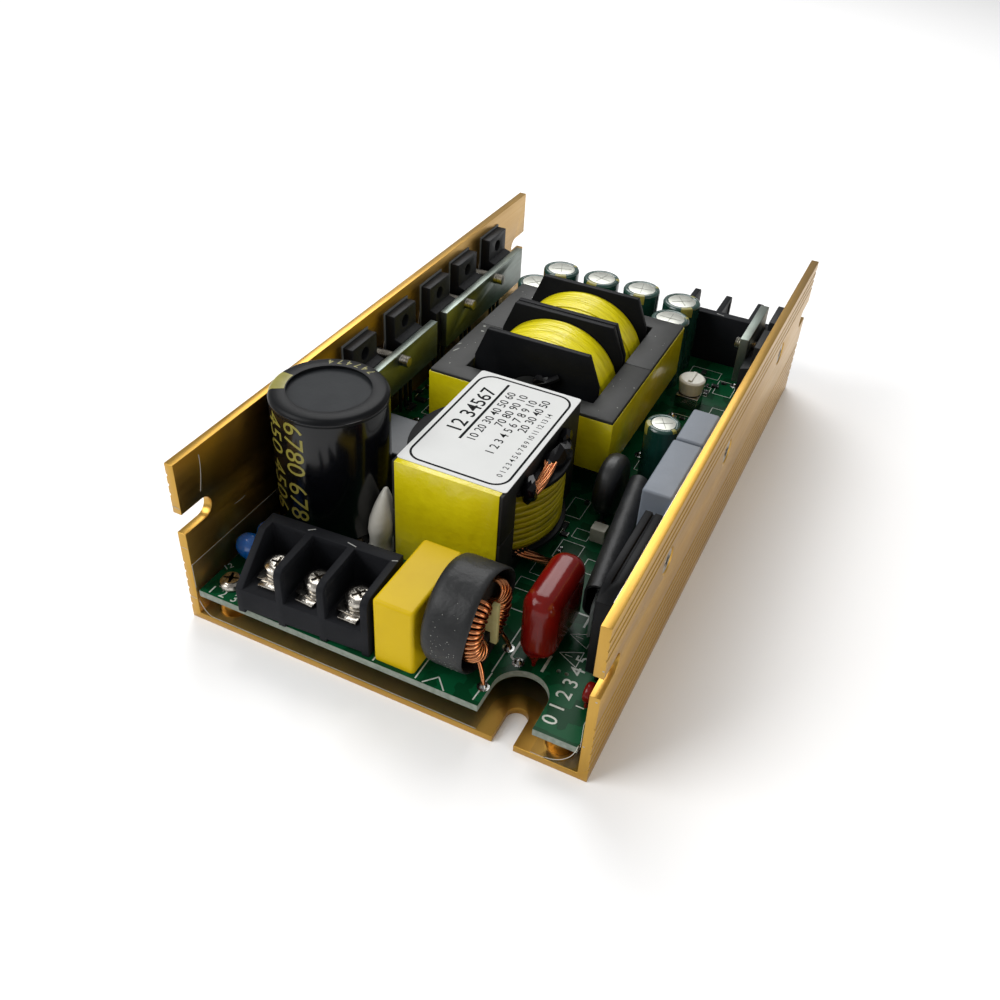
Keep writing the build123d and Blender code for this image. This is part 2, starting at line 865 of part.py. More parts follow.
# Bridge rectifier: flat block with one cut corner and a groove, on four legs
bridge_front = board_front + bridge_setback
bridge_foot = board_top + bridge_lift
bridge_left = spreader_left - bridge_width
with BuildPart() as bridge:
    with BuildSketch(along(bridge_left)):
        with BuildLine():
            Polyline(
                (bridge_front, bridge_foot),
                (bridge_front + bridge_length, bridge_foot),
                (bridge_front + bridge_length, bridge_foot + bridge_height),
                (bridge_front + bridge_chamfer_length, bridge_foot + bridge_height),
                (bridge_front, bridge_foot + bridge_height - bridge_chamfer_height),
                close=True,
            )
        make_face()
    extrude(amount=bridge_width)
    with BuildSketch(level(bridge_foot + bridge_height)):
        with Locations((bridge_left + bridge_width / 2, bridge_front + bridge_length / 2)):
            Rectangle(bridge_groove, bridge_length)
    extrude(amount=-bridge_groove, mode=Mode.SUBTRACT)
    with BuildSketch(level(board_top)):
        with Locations((bridge_left + bridge_width / 2, bridge_front + bridge_length / 2)):
            with GridLocations(0, bridge_leg_pitch, 1, bridge_legs):
                Rectangle(leg_thickness, bridge_leg_width)
    extrude(amount=bridge_lift)
finish(bridge, "bridge_rectifier")

# Power devices inside silicone caps, against the spreader
cap_places = (
    (front_cap_setback, front_cap_length, front_cap_width, front_device_length),
    (rear_cap_setback, rear_cap_length, rear_cap_width, rear_device_length),
)
with BuildPart() as device_caps:
    for setback, length, width, _ in cap_places:
        middle = (spreader_left - width / 2, board_front + setback + length / 2)
        block_body(*middle, cap_bottom, (width, length, cap_top - cap_bottom), cap_round)
        with BuildSketch(level(cap_bottom)):
            with Locations(middle):
                Rectangle(width - 2 * cap_wall, length - 2 * cap_wall)
        extrude(amount=cap_top - cap_bottom - cap_wall, mode=Mode.SUBTRACT)
finish(device_caps, "device_caps")

with BuildPart() as power_devices:
    for setback, length, width, device_length in cap_places:
        middle = (spreader_left - width / 2, board_front + setback + length / 2)
        with BuildSketch(level(cap_bottom - touch_gap)):
            with Locations(middle):
                Rectangle(width - 2 * cap_wall - 2 * touch_gap, device_length)
        extrude(amount=cap_top - cap_bottom - cap_wall)
        with BuildSketch(level(board_top)):
            with Locations(middle):
                with GridLocations(0, device_leg_pitch, 1, device_legs):
                    Rectangle(leg_thickness, leg_width)
        extrude(amount=cap_bottom - board_top)
finish(power_devices, "power_devices")

# Big capacitor: can with a pressed groove and a sleeve folded over its rim
bulk_x = inner_left + bulk_wall_gap + bulk_diameter / 2
bulk_y = board_front + bulk_setback + bulk_diameter / 2


def turned(x, y, points):
    """Solid turned about an upright axis from points of radius and height, inside an open part."""
    with BuildSketch(across(y)) as profile:
        with BuildLine():
            Polyline(*[(x + radius, z) for radius, z in points], close=True)
        make_face()
    revolve(profile.sketch, axis=Axis((x, y, 0), (0, 0, 1)))


can_radius = bulk_diameter / 2 - bulk_sleeve
groove_low = board_top + bulk_groove_height
bulk_top = board_top + bulk_height
with BuildPart() as bulk_can:
    turned(
        bulk_x,
        bulk_y,
        (
            (0, board_top),
            (can_radius, board_top),
            (can_radius, groove_low),
            (can_radius - bulk_groove_depth, groove_low + bulk_groove_width / 2),
            (can_radius, groove_low + bulk_groove_width),
            (can_radius, bulk_top - bulk_rim),
            (can_radius - bulk_rim, bulk_top - bulk_sleeve),
            (bulk_vent_radius, bulk_top - bulk_sleeve),
            (bulk_vent_radius, bulk_top - bulk_recess),
            (0, bulk_top - bulk_recess),
        ),
    )
finish(bulk_can, "bulk_capacitor")

with BuildPart() as bulk_cover:
    turned(
        bulk_x,
        bulk_y,
        (
            (can_radius + thread_gap, board_top),
            (bulk_diameter / 2, board_top),
            (bulk_diameter / 2, groove_low),
            (bulk_diameter / 2 - bulk_groove_depth, groove_low + bulk_groove_width / 2),
            (bulk_diameter / 2, groove_low + bulk_groove_width),
            (bulk_diameter / 2, bulk_top - bulk_rim),
            (bulk_diameter / 2 - bulk_rim, bulk_top),
            (bulk_vent_radius + bulk_lip, bulk_top),
            (bulk_vent_radius + bulk_lip, bulk_top - bulk_sleeve + thread_gap),
            (can_radius - bulk_rim, bulk_top - bulk_sleeve + thread_gap),
            (can_radius + thread_gap, bulk_top - bulk_rim),
            (can_radius + thread_gap, groove_low + bulk_groove_width),
            (can_radius + thread_gap - bulk_groove_depth, groove_low + bulk_groove_width / 2),
            (can_radius + thread_gap, groove_low),
        ),
    )
finish(bulk_cover, "bulk_capacitor_sleeve")

# Glue between the big capacitor and the inductor
inductor_left = board_left + inductor_inset
inductor_x = inductor_left + inductor_width / 2
inductor_y = board_front + inductor_setback + inductor_length / 2
glue_x = inductor_left - glue_gap - glue_radius
with BuildPart() as glue:
    turned(
        glue_x,
        bulk_y - glue_forward,
        (
            (0, board_top),
            (glue_foot, board_top),
            (glue_radius, board_top + glue_waist),
            (glue_shoulder, board_top + glue_height - glue_shoulder),
            (glue_tip, board_top + glue_height),
            (0, board_top + glue_height),
        ),
    )
    fillet(glue.edges().filter_by(GeomType.CIRCLE).group_by(Axis.Z)[1:], fillet_share * glue_tip)
finish(glue, "silicone_glue")

# Relay
with BuildPart() as relay:
    block_body(
        board_left + relay_inset + relay_width / 2,
        board_front + relay_setback + relay_length / 2,
        board_top,
        (relay_width, relay_length, relay_height),
        relay_round,
    )
finish(relay, "relay")

# Inductor: two core halves round an upright winding on a bobbin, and tape over the core
core_length = inductor_length - 2 * tape
core_bottom = board_top + tape
core_height = inductor_height - 2 * tape
core_middle = core_bottom + core_height / 2
with BuildPart() as core_lower:
    with BuildSketch(level(core_bottom)):
        with Locations((inductor_x, inductor_y)):
            Rectangle(inductor_width, core_length)
    extrude(amount=core_plate)
    with BuildSketch(level(core_bottom + core_plate)):
        with Locations((inductor_x, inductor_y)):
            Rectangle(inductor_width, core_length)
            Circle(core_window_radius, mode=Mode.SUBTRACT)
            Circle(core_post_radius)
    extrude(amount=core_height / 2 - core_plate)
finish(core_lower, "inductor_core_lower")

with BuildPart() as core_upper:
    mirror(core_lower.part, about=level(core_middle))
finish(core_upper, "inductor_core_upper")

spool_bottom = core_bottom + core_plate + touch_gap
spool_top = core_bottom + core_height - core_plate - touch_gap
tube_inner = core_post_radius + touch_gap
tube_outer = tube_inner + bobbin_wall
flange_radius = core_window_radius - flange_gap
with BuildPart() as inductor_bobbin:
    turned(
        inductor_x,
        inductor_y,
        (
            (tube_inner, spool_bottom),
            (flange_radius, spool_bottom),
            (flange_radius, spool_bottom + bobbin_wall),
            (tube_outer, spool_bottom + bobbin_wall),
            (tube_outer, spool_top - bobbin_wall),
            (flange_radius, spool_top - bobbin_wall),
            (flange_radius, spool_top),
            (tube_inner, spool_top),
        ),
    )
finish(inductor_bobbin, "inductor_bobbin")

winding_bottom = spool_bottom + bobbin_wall
winding_top = spool_top - bobbin_wall
winding_edge = inductor_winding_radius - winding_bulge
with BuildPart() as inductor_winding:
    with BuildSketch(across(inductor_y)):
        with BuildLine():
            Polyline(
                (inductor_x + winding_edge, winding_bottom),
                (inductor_x + tube_outer, winding_bottom),
                (inductor_x + tube_outer, winding_top),
                (inductor_x + winding_edge, winding_top),
            )
            ThreePointArc(
                (inductor_x + winding_edge, winding_top),
                (inductor_x + inductor_winding_radius, core_middle),
                (inductor_x + winding_edge, winding_bottom),
            )
        make_face()
    revolve(axis=Axis((inductor_x, inductor_y, 0), (0, 0, 1)))
finish(inductor_winding, "inductor_winding")

with BuildPart() as inductor_tape:
    with BuildSketch(along(inductor_x)):
        with Locations((inductor_y, core_middle)):
            Rectangle(inductor_length, inductor_height)
            Rectangle(core_length, core_height, mode=Mode.SUBTRACT)
    extrude(amount=inductor_width / 2 - tape_inset, both=True)
finish(inductor_tape, "inductor_tape")

# Transformer: two core halves lying flat, joined in the middle, with a round post along Y
transformer_x = (transformer_left + transformer_right) / 2
transformer_front = board_front + transformer_setback
transformer_y = transformer_front + transformer_length / 2
transformer_z = board_top + transformer_lift + transformer_height / 2
half_window = transformer_length / 2 - transformer_yoke
window_width = transformer_width - 2 * transformer_leg
winding_half_width = window_width / 2 - winding_side_gap
with BuildPart() as core_front:
    with BuildSketch(level(transformer_z)):
        with Locations((transformer_x, transformer_y)):
            Rectangle(
                transformer_width - 2 * tape,
                transformer_length / 2 - tape,
                align=(Align.CENTER, Align.MAX),
            )
            Rectangle(window_width, half_window, align=(Align.CENTER, Align.MAX), mode=Mode.SUBTRACT)
    extrude(amount=transformer_height / 2, both=True)
    with BuildSketch(across(transformer_y)):
        with Locations((transformer_x, transformer_z)):
            Circle(transformer_post_radius)
    extrude(amount=half_window)
finish(core_front, "transformer_core_front")

with BuildPart() as core_rear:
    mirror(core_front.part, about=across(transformer_y))
finish(core_rear, "transformer_core_rear")

with BuildPart() as transformer_tape:
    with BuildSketch(level(transformer_z)):
        with Locations((transformer_x, transformer_y)):
            Rectangle(transformer_width, transformer_length)
            Rectangle(transformer_width - 2 * tape, transformer_length - 2 * tape, mode=Mode.SUBTRACT)
    extrude(amount=transformer_height / 2 - tape_inset, both=True)
finish(transformer_tape, "transformer_tape")

# Its bobbin: a tube on the post with four flanges that stand on the board
post_hole = transformer_post_radius + touch_gap
post_tube = post_hole + bobbin_wall
outer_flange = transformer_front + transformer_yoke + flange_clearance
middle_flange = transformer_y - middle_flange_gap / 2 - flange
flange_fronts = [outer_flange, middle_flange]
flange_fronts += [2 * transformer_y - front - flange for front in (middle_flange, outer_flange)]
flange_half = window_width / 2 - flange_gap
with BuildPart() as transformer_bobbin:
    with BuildSketch(*[across(front) for front in flange_fronts]):
        with BuildLine():
            Polyline(
                (transformer_x - flange_half, board_top),
                (transformer_x + flange_half, board_top),
                (transformer_x + flange_half, flange_shoulder),
                (transformer_x + flange_head / 2, flange_top),
                (transformer_x - flange_head / 2, flange_top),
                (transformer_x - flange_half, flange_shoulder),
                close=True,
            )
        make_face()
        with Locations((transformer_x, transformer_z)):
            Circle(post_hole, mode=Mode.SUBTRACT)
    extrude(amount=-flange)
    with BuildSketch(across(outer_flange)):
        with Locations((transformer_x, transformer_z)):
            Circle(post_tube)
            Circle(post_hole, mode=Mode.SUBTRACT)
    extrude(amount=-(flange_fronts[-1] - outer_flange))
finish(transformer_bobbin, "transformer_bobbin")

winding_length = middle_flange - outer_flange - flange
with BuildPart() as transformer_windings:
    with BuildSketch(across(outer_flange + flange), across(flange_fronts[2] + flange)):
        with Locations((transformer_x, board_top + winding_lift + winding_half_height)):
            Ellipse(winding_half_width, winding_half_height)
        with Locations((transformer_x, transformer_z)):
            Circle(post_tube, mode=Mode.SUBTRACT)
    extrude(amount=-winding_length)
finish(transformer_windings, "transformer_windings")


def power_package(y, side, thickness, bottom):
    """Full-pack package on a wall: thick body below, thin head with a hole, three straight legs."""
    wall_x = side * (inner_right - pad)
    front_x = wall_x - side * thickness
    head_x = wall_x - side * package_head
    step = bottom + package_body
    with BuildPart() as package:
        with BuildSketch(across(y)):
            with BuildLine():
                Polyline(
                    (wall_x, bottom),
                    (front_x, bottom),
                    (front_x, step),
                    (head_x, step + package_step),
                    (head_x, bottom + package_height),
                    (wall_x, bottom + package_height),
                    close=True,
                )
            make_face()
        extrude(amount=package_width / 2, both=True)
        with BuildSketch(along(wall_x)):
            with Locations((y, bottom + package_height - package_hole_drop)):
                Circle(package_hole)
        extrude(amount=thickness, both=True, mode=Mode.SUBTRACT)
        with BuildSketch(level(board_top)):
            with Locations((wall_x - side * package_leg_inset, y)):
                with GridLocations(0, package_leg_pitch, 1, device_legs):
                    Rectangle(leg_thickness, leg_width)
        extrude(amount=bottom - board_top)
    return package


# Five transistors on the left wall, held by two bars, and two rectifiers on the right wall
transistor_ys = [housing_front + distance for distance in transistor_spots]
rectifier_ys = [housing_front + distance for distance in rectifier_spots]
for number, y in enumerate(transistor_ys, start=1):
    finish(power_package(y, -1, transistor_thickness, transistor_bottom), f"transistor_{number}")
for number, y in enumerate(rectifier_ys, start=1):
    finish(power_package(y, 1, rectifier_thickness, rectifier_bottom), f"rectifier_{number}")

with BuildPart() as insulating_pads:
    for side, ys, bottom in ((-1, transistor_ys, transistor_bottom), (1, rectifier_ys, rectifier_bottom)):
        with BuildSketch(along(side * inner_right)):
            with Locations(*[(y, bottom + package_height / 2) for y in ys]):
                Rectangle(package_width + 2 * pad_margin, package_height + 2 * pad_margin)
        extrude(amount=-side * pad)
finish(insulating_pads, "insulating_pads")


def clamp_bar(side, thickness, front, rear, bottom, top, screws, bar):
    """Flat bar across packages on a wall, with a threaded hole at each screw."""
    face = side * (inner_right - pad - thickness - touch_gap)
    with BuildPart() as flat:
        with BuildSketch(along(face)):
            with Locations((housing_front + front, bottom)):
                Rectangle(rear - front, top - bottom, align=(Align.MIN, Align.MIN))
            with Locations(*[(housing_front + distance, wall_screw_height) for distance in screws]):
                Circle(wall_screw_radius + thread_gap, mode=Mode.SUBTRACT)
        extrude(amount=-side * bar)
    return flat


step_top = transistor_bottom + package_body
left_bar = (-1, transistor_thickness)
front_bar = (front_bar_start, front_bar_end, left_bar_bottom, step_top)
finish(clamp_bar(*left_bar, *front_bar, (front_left_screw,), left_bar_depth), "clamp_bar_front")
finish(
    clamp_bar(
        *left_bar,
        rear_bar_start,
        rear_bar_end,
        left_bar_bottom,
        step_top,
        (middle_left_screw, rear_left_screw),
        left_bar_depth,
    ),
    "clamp_bar_rear",
)
finish(
    clamp_bar(
        1,
        rectifier_thickness,
        right_bar_start,
        right_bar_end,
        right_bar_bottom,
        right_bar_top,
        (rear_bar_screw,),
        right_bar_depth,
    ),
    "clamp_bar_right",
)

# Countersunk screws through the walls into the bars and the spreader
left_screw_length = wall + pad + transistor_thickness + touch_gap + left_bar_depth + wall_screw_stub
spreader_screw_length = wall + spreader - touch_gap
rear_bar_screw_length = wall + pad + rectifier_thickness + touch_gap + right_bar_depth
screw_lengths = 3 * [left_screw_length] + 2 * [spreader_screw_length] + [rear_bar_screw_length]
with BuildPart() as clamp_screws:
    for (side, distance), length in zip(wall_screws, screw_lengths):
        with Locations(screw_plane(side, distance)):
            Cone(
                wall_screw_radius,
                wall_screw_head_radius,
                wall_screw_head_radius - wall_screw_radius,
                align=HANGING,
            )
            Cylinder(wall_screw_radius, length, align=HANGING)
finish(clamp_screws, "clamp_screws")


def upright_capacitor(x, y, diameter, height):
    """Capacitor can in a sleeve: rounded rim and a top face slightly below it."""
    radius = diameter / 2
    top = board_top + height
    with BuildPart() as capacitor:
        turned(
            x,
            y,
            (
                (0, board_top),
                (radius, board_top),
                (radius, top - can_rim),
                (radius - can_chamfer, top - can_chamfer),
                (radius - can_rim, top),
                (radius - 2 * can_rim, top),
                (radius - 2 * can_rim - can_recess, top - can_recess),
                (0, top - can_recess),
            ),
        )
    return capacitor


# Rear capacitors: a row of four before the rear edge and two more in front of it
near_row = board_front + near_row_setback
far_row = board_front + far_row_setback
rear_spots = [
    (board_left + rear_row_inset + i * rear_row_pitch, far_row + stagger)
    for i, stagger in enumerate(far_row_stagger)
]
rear_spots += [
    (transformer_right - near_right_inset, near_row),
    (transformer_left + near_left_inset, near_row + near_left_stagger),
]
for number, (x, y) in enumerate(rear_spots, start=1):
    capacitor = upright_capacitor(x, y, rear_capacitor_diameter, rear_capacitor_height)
    finish(capacitor, f"rear_capacitor_{number}")

small_x = transformer_right + small_capacitor_gap + small_capacitor_diameter / 2
small_y = transformer_front + small_capacitor_setback
small_capacitor = upright_capacitor(small_x, small_y, small_capacitor_diameter, small_capacitor_height)
finish(small_capacitor, "small_capacitor")

# Trimmer: square base with a bore, and a knob whose shaft turns in it
trimmer_x = transformer_right + trimmer_gap + trimmer_width / 2
trimmer_y = board_front + transformer_setback + transformer_length - trimmer_forward
trimmer_top = board_top + trimmer_height
with BuildPart() as trimmer_base:
    with BuildSketch(level(board_top)):
        with Locations((trimmer_x, trimmer_y)):
            Rectangle(trimmer_width, trimmer_width)
    extrude(amount=trimmer_height)
    with Locations((trimmer_x, trimmer_y, trimmer_top)):
        Cylinder(shaft_radius + shaft_clearance, shaft_length + knob_gap, align=HANGING, mode=Mode.SUBTRACT)
finish(trimmer_base, "trimmer_base")

knob_bottom = trimmer_top + knob_gap
knob_top = knob_bottom + knob_height
with BuildPart() as trimmer_knob:
    turned(
        trimmer_x,
        trimmer_y,
        (
            (0, trimmer_top - shaft_length),
            (shaft_radius, trimmer_top - shaft_length),
            (shaft_radius, knob_bottom),
            (knob_foot_radius, knob_bottom),
            (knob_radius, knob_top - knob_rim),
            (knob_radius - knob_rim, knob_top),
            (0, knob_top),
        ),
    )
    with BuildSketch(level(knob_top)):
        with Locations((trimmer_x, trimmer_y)):
            Rectangle(knob_pointer, 2 * (knob_radius - 2 * knob_rim))
    extrude(amount=knob_pointer_height)
finish(trimmer_knob, "trimmer_knob")
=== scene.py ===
"""Visual model of an open-frame power supply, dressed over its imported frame."""

import logging
import random
from dataclasses import dataclass
from enum import Enum
from math import atan2, cos, pi, radians, sin

import bmesh
import bpy
from mathutils import Matrix, Vector


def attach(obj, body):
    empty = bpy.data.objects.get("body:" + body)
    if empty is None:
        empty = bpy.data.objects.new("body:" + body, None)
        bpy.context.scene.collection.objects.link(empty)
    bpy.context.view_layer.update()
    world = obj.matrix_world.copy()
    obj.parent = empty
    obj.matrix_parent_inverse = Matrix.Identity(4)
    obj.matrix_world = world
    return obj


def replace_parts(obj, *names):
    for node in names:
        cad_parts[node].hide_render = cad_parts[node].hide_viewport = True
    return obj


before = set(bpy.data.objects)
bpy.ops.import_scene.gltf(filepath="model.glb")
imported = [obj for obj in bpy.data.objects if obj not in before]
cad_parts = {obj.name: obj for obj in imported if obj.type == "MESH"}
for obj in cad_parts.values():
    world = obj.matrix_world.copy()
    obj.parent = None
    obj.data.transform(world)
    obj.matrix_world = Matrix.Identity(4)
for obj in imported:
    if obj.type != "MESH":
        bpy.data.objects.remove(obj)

logging.basicConfig(level=logging.INFO, format="%(message)s")
log = logging.getLogger("supply")

MM = 0.001
SUPPLY = "supply"
TRIMMER = "trimmer"
# Top of the board and ends of the housing, in millimetres
BOARD_TOP = 8.3
FRONT_END = -79.0
REAR_END = 79.0
# Distances below which points of packed, turned and drawn shapes are joined
PACKED_WELD = 0.002
TURNED_WELD = 0.001
DRAWN_WELD = 0.0005
# Thickness of printed lines and figures, and height of a figure against the size of its font
LINE_THICKNESS = 0.03
DIGIT_THICKNESS = 0.02
DIGIT_SHARE = 0.7
# Degrees between two faces: below them the faces are merged or shaded as one
FLAT_BELOW = 1.0
SMOOTH_BELOW = 35.0
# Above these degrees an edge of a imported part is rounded
ROUND_ABOVE = 40.0
UPRIGHT = Matrix.Identity(4)
Point = tuple[float, float, float]
Flat = tuple[float, float]
Shape = bmesh.types.BMesh
Piece = bpy.types.Object
Tree = bpy.types.NodeTree
Node = bpy.types.Node
Socket = bpy.types.NodeSocket


class Facing(Enum):
    """Turn that brings a shape's upward axis to face one side of the supply."""

    LEFT = Matrix.Rotation(-pi / 2, 4, "Y")
    RIGHT = Matrix.Rotation(pi / 2, 4, "Y")
    FRONT = Matrix.Rotation(pi / 2, 4, "X")


def at(x: float, y: float, z: float, turn: float = 0.0) -> Matrix:
    """Return the place at a point in millimetres, turned about the upright by some degrees."""
    return Matrix.Translation((x, y, z)) @ Matrix.Rotation(radians(turn), 4, "Z")


def linear(code: str) -> tuple[float, float, float, float]:
    """Turn an sRGB hex value into linear red, green, blue and alpha.

    Args:
        code: Six hex digits after a hash sign.

    Returns:
        Linear channels with an alpha of 1.
    """
    channels = [int(code[i:i + 2], 16) / 255 for i in (1, 3, 5)]
    red, green, blue = [c / 12.92 if c <= 0.04045 else ((c + 0.055) / 1.055) ** 2.4 for c in channels]
    return red, green, blue, 1.0


def add_node(tree: Tree, kind: str, inputs: dict | None = None, **settings) -> Node:
    """Add one shader node with its settings, values and links.

    Args:
        tree: Node tree that takes the node.
        kind: Type of the node after "ShaderNode".
        inputs: Input names or numbers, each with a value or with a socket that feeds it.
        settings: Attributes of the node.

    Returns:
        The new node.
    """
    node = tree.nodes.new("ShaderNode" + kind)
    for name, value in settings.items():
        setattr(node, name, value)
    for name, value in (inputs or {}).items():
        if isinstance(value, Socket):
            tree.links.new(value, node.inputs[name])
        else:
            node.inputs[name].default_value = value
    return node


@dataclass(frozen=True)
class Finish:
    """Surface of one real material: its colour, gloss, clouding and fine grain.

    Sizes are in millimetres. The stretch is the length of the grain along each axis, against its width.
    """

    name: str
    colour: str
    roughness: float
    metallic: float = 0.0
    shade: str = ""
    shade_mm: float = 8.0
    shade_share: float = 0.5
    grain_mm: float = 0.5
    grain_height: float = 0.0
    stretch: Point = (1.0, 1.0, 1.0)
    coat: float = 0.0
    coat_roughness: float = 0.08
    alpha: float = 1.0
    sheen: float = 0.0
    specular: float = 0.5

    def material(self) -> bpy.types.Material:
        """Return the material, built on its first use."""
        ready = bpy.data.materials.get(self.name)
        if ready:
            return ready
        material = bpy.data.materials.new(self.name)
        tree = empty_tree(material)
        place = add_node(tree, "TexCoord").outputs["Object"]
        values = {
            "Base Color": linear(self.colour),
            "Roughness": self.roughness,
            "Metallic": self.metallic,
            "Specular IOR Level": self.specular,
            "Coat Weight": self.coat,
            "Coat Roughness": self.coat_roughness,
            "Alpha": self.alpha,
            "Sheen Weight": self.sheen,
        }
        shader = add_node(tree, "BsdfPrincipled", values)
        self.dress(tree, shader, place)
        add_node(tree, "OutputMaterial", {"Surface": shader.outputs[0]})
        return material

    def noise(self, tree: Tree, place: Socket, size: float, detail: float = 3.0) -> Socket:
        """Add a noise of a size in millimetres, drawn out along the stretch, and return its value."""
        scale = tuple(1.0 / part for part in self.stretch)
        spread = add_node(tree, "Mapping", {"Vector": place, "Scale": scale})
        return self.cloud(tree, spread.outputs[0], size, detail)

    def cloud(self, tree: Tree, place: Socket, size: float, detail: float) -> Socket:
        """Add an even noise of a size in millimetres and return its value."""
        values = {"Vector": place, "Scale": 1 / (size * MM), "Detail": detail}
        return add_node(tree, "TexNoise", values).outputs[0]

    def tint(self, tree: Tree, shader: Node, mask: Socket, limits: Flat, codes: tuple[str, str]) -> None:
        """Colour the shader by a mask that runs between two limits from one colour to another."""
        ramp = add_node(tree, "ValToRGB", {"Fac": mask})
        for stop, position, code in zip(ramp.color_ramp.elements, limits, codes):
            stop.position = position
            stop.color = linear(code)
        tree.links.new(ramp.outputs[0], shader.inputs["Base Color"])

    def bump(self, tree: Tree, shader: Node, height: Socket, depth: float) -> None:
        """Feed a height pattern, with its depth in millimetres, to the shader's normal."""
        relief = add_node(tree, "Bump", {"Height": height, "Distance": depth * MM, "Strength": 1.0})
        tree.links.new(relief.outputs[0], shader.inputs["Normal"])

    def dress(self, tree: Tree, shader: Node, place: Socket) -> None:
        """Add clouding of the colour and fine grain to the shader."""
        if self.shade:
            cloud = self.noise(tree, place, self.shade_mm)
            half = 0.5 * self.shade_share
            self.tint(tree, shader, cloud, (0.5 - half, 0.5 + half), (self.colour, self.shade))
        if self.grain_height:
            self.bump(tree, shader, self.noise(tree, place, self.grain_mm), self.grain_height)


@dataclass(frozen=True)
class DrawnMetal(Finish):
    """Metal with die or rolling lines along one axis, which blur its highlights across them."""

    line_mm: float = 0.25
    line_depth: float = 0.0016
    roughness_spread: float = 0.05

    def dress(self, tree: Tree, shader: Node, place: Socket) -> None:
        """Add long fine lines to the gloss and the relief, over broad clouding of the colour."""
        lines = self.noise(tree, place, self.line_mm, 4.0)
        gloss = add_node(tree, "MapRange", {
            "Value": lines,
            "From Min": 0.3,
            "From Max": 0.7,
            "To Min": self.roughness - self.roughness_spread,
            "To Max": self.roughness + self.roughness_spread,
        })
        tree.links.new(gloss.outputs[0], shader.inputs["Roughness"])
        cloud = self.cloud(tree, place, self.shade_mm, 4.0)
        self.tint(tree, shader, cloud, (0.35, 0.65), (self.colour, self.shade))
        self.bump(tree, shader, lines, self.line_depth)


@dataclass(frozen=True)
class Tape(Finish):
    """Thin polyester tape pulled round a part: glossy, with wrinkles whose valleys get painted shade, a
    darker colour for the shade in the creases.
    """

    wrinkle_mm: float = 5.0
    wrinkle_depth: float = 0.25
    fine_share: float = 0.35

    def dress(self, tree: Tree, shader: Node, place: Socket) -> None:
        """Add stretched wrinkles to the relief, and painted shade in their valleys to the colour."""
        fold = self.noise(tree, place, self.wrinkle_mm, 2.0)
        fine = self.noise(tree, place, self.wrinkle_mm / 5, 2.0)
        wrinkles_and_shade = add_node(tree, "Math", {0: fine, 1: self.fine_share, 2: fold}, operation="MULTIPLY_ADD")
        # Painted shade: the low valleys of the wrinkles take the darker shade colour
        self.tint(tree, shader, wrinkles_and_shade.outputs[0], (0.45, 0.8), (self.shade, self.colour))
        self.bump(tree, shader, wrinkles_and_shade.outputs[0], self.wrinkle_depth)


@dataclass(frozen=True)
class SolderMask(Finish):
    """Solder mask over copper: darker laminate between straight lighter tracks and fills."""

    track_mm: float = 3.4
    track_depth: float = 0.03
    track_from: float = 0.46
    track_to: float = 0.5

    def dress(self, tree: Tree, shader: Node, place: Socket) -> None:
        """Add square-edged copper areas seen through the mask, with their raised edges."""
        values = {"Vector": place, "Scale": 1 / (self.track_mm * MM), "Randomness": 0.9}
        cells = add_node(tree, "TexVoronoi", values, distance="CHEBYCHEV")
        grey = add_node(tree, "RGBToBW", {"Color": cells.outputs["Color"]})
        self.tint(tree, shader, grey.outputs[0], (self.track_from, self.track_to), (self.colour, self.shade))
        limits = {"From Min": self.track_from, "From Max": self.track_to}
        step = add_node(tree, "MapRange", {"Value": grey.outputs[0], **limits})
        self.bump(tree, shader, step.outputs[0], self.track_depth)


# Gold anodised extruded aluminium: satin and a little uneven, with faint die lines
GOLD = DrawnMetal("gold anodised extruded aluminium", "#bd9549", 0.34, 1.0, shade="#b0883d", shade_mm=26.0,
                  stretch=(1.0, 60.0, 1.0), line_mm=0.35, line_depth=0.002)
# Mill-finish aluminium bar: grey with fine rolling lines; the grey is tinted green, a painted reflection of
# the green board
MILL = DrawnMetal("mill finish aluminium, green painted reflection", "#87918a", 0.43, 1.0, shade="#757b74", shade_mm=9.0,
                  stretch=(1.0, 40.0, 1.0), line_mm=0.3)
# Bright rolled aluminium, whose thin upper edge shows as a white line
SPREADER = Finish("bright rolled aluminium", "#e4e4e0", 0.34, 1.0)
# Pressed aluminium can: pale and slightly blurred
CAN = Finish("pressed aluminium can", "#babbb3", 0.42, 1.0, shade="#a9aaa3", shade_mm=2.5, grain_mm=0.4,
             grain_height=0.01)
# Nickel-plated steel: bright with worn darker patches
NICKEL = Finish("nickel plated steel", "#d6d1c7", 0.22, 1.0, shade="#77716a", shade_mm=1.3, shade_share=0.6,
                grain_mm=0.7, grain_height=0.06)
# Zinc-plated steel of the wall screws: duller, with darker patches
STEEL = Finish("zinc plated steel", "#c4bfb4", 0.3, 1.0, shade="#7f7a72", shade_mm=1.2)
# Turned brass of the standoffs
BRASS = Finish("turned brass", "#a8823f", 0.3, 1.0, shade="#86652c", shade_mm=2.0)
# Moulded nylon of the terminal blocks: charcoal with a fine spark-eroded grain
NYLON = Finish("moulded black nylon", "#1f2023", 0.5, shade="#191a1d", shade_mm=6.0, grain_mm=0.35,
               grain_height=0.02, specular=0.06)
# Nylon whitened where it was bent or scuffed
FLASH = Finish("stressed nylon edge", "#9fa09d", 0.6)
# Moulded phenolic of the bobbins and the bridge: blacker and glossier than nylon
PHENOLIC = Finish("moulded black phenolic", "#0d0e10", 0.42, shade="#131416", shade_mm=5.0, grain_mm=0.6,
                  grain_height=0.02, specular=0.09)
# Transfer-moulded epoxy of the power packages
EPOXY = Finish("moulded epoxy package", "#17181a", 0.45, shade="#1c1d1f", shade_mm=3.0, grain_mm=0.25,
               grain_height=0.015, specular=0.15)
# Sintered ferrite: dark grey and dry, with a fine ground grain
FERRITE = Finish("ground ferrite", "#1a1b1a", 0.55, shade="#232422", shade_mm=3.0, grain_mm=0.3,
                 grain_height=0.02, specular=0.42)
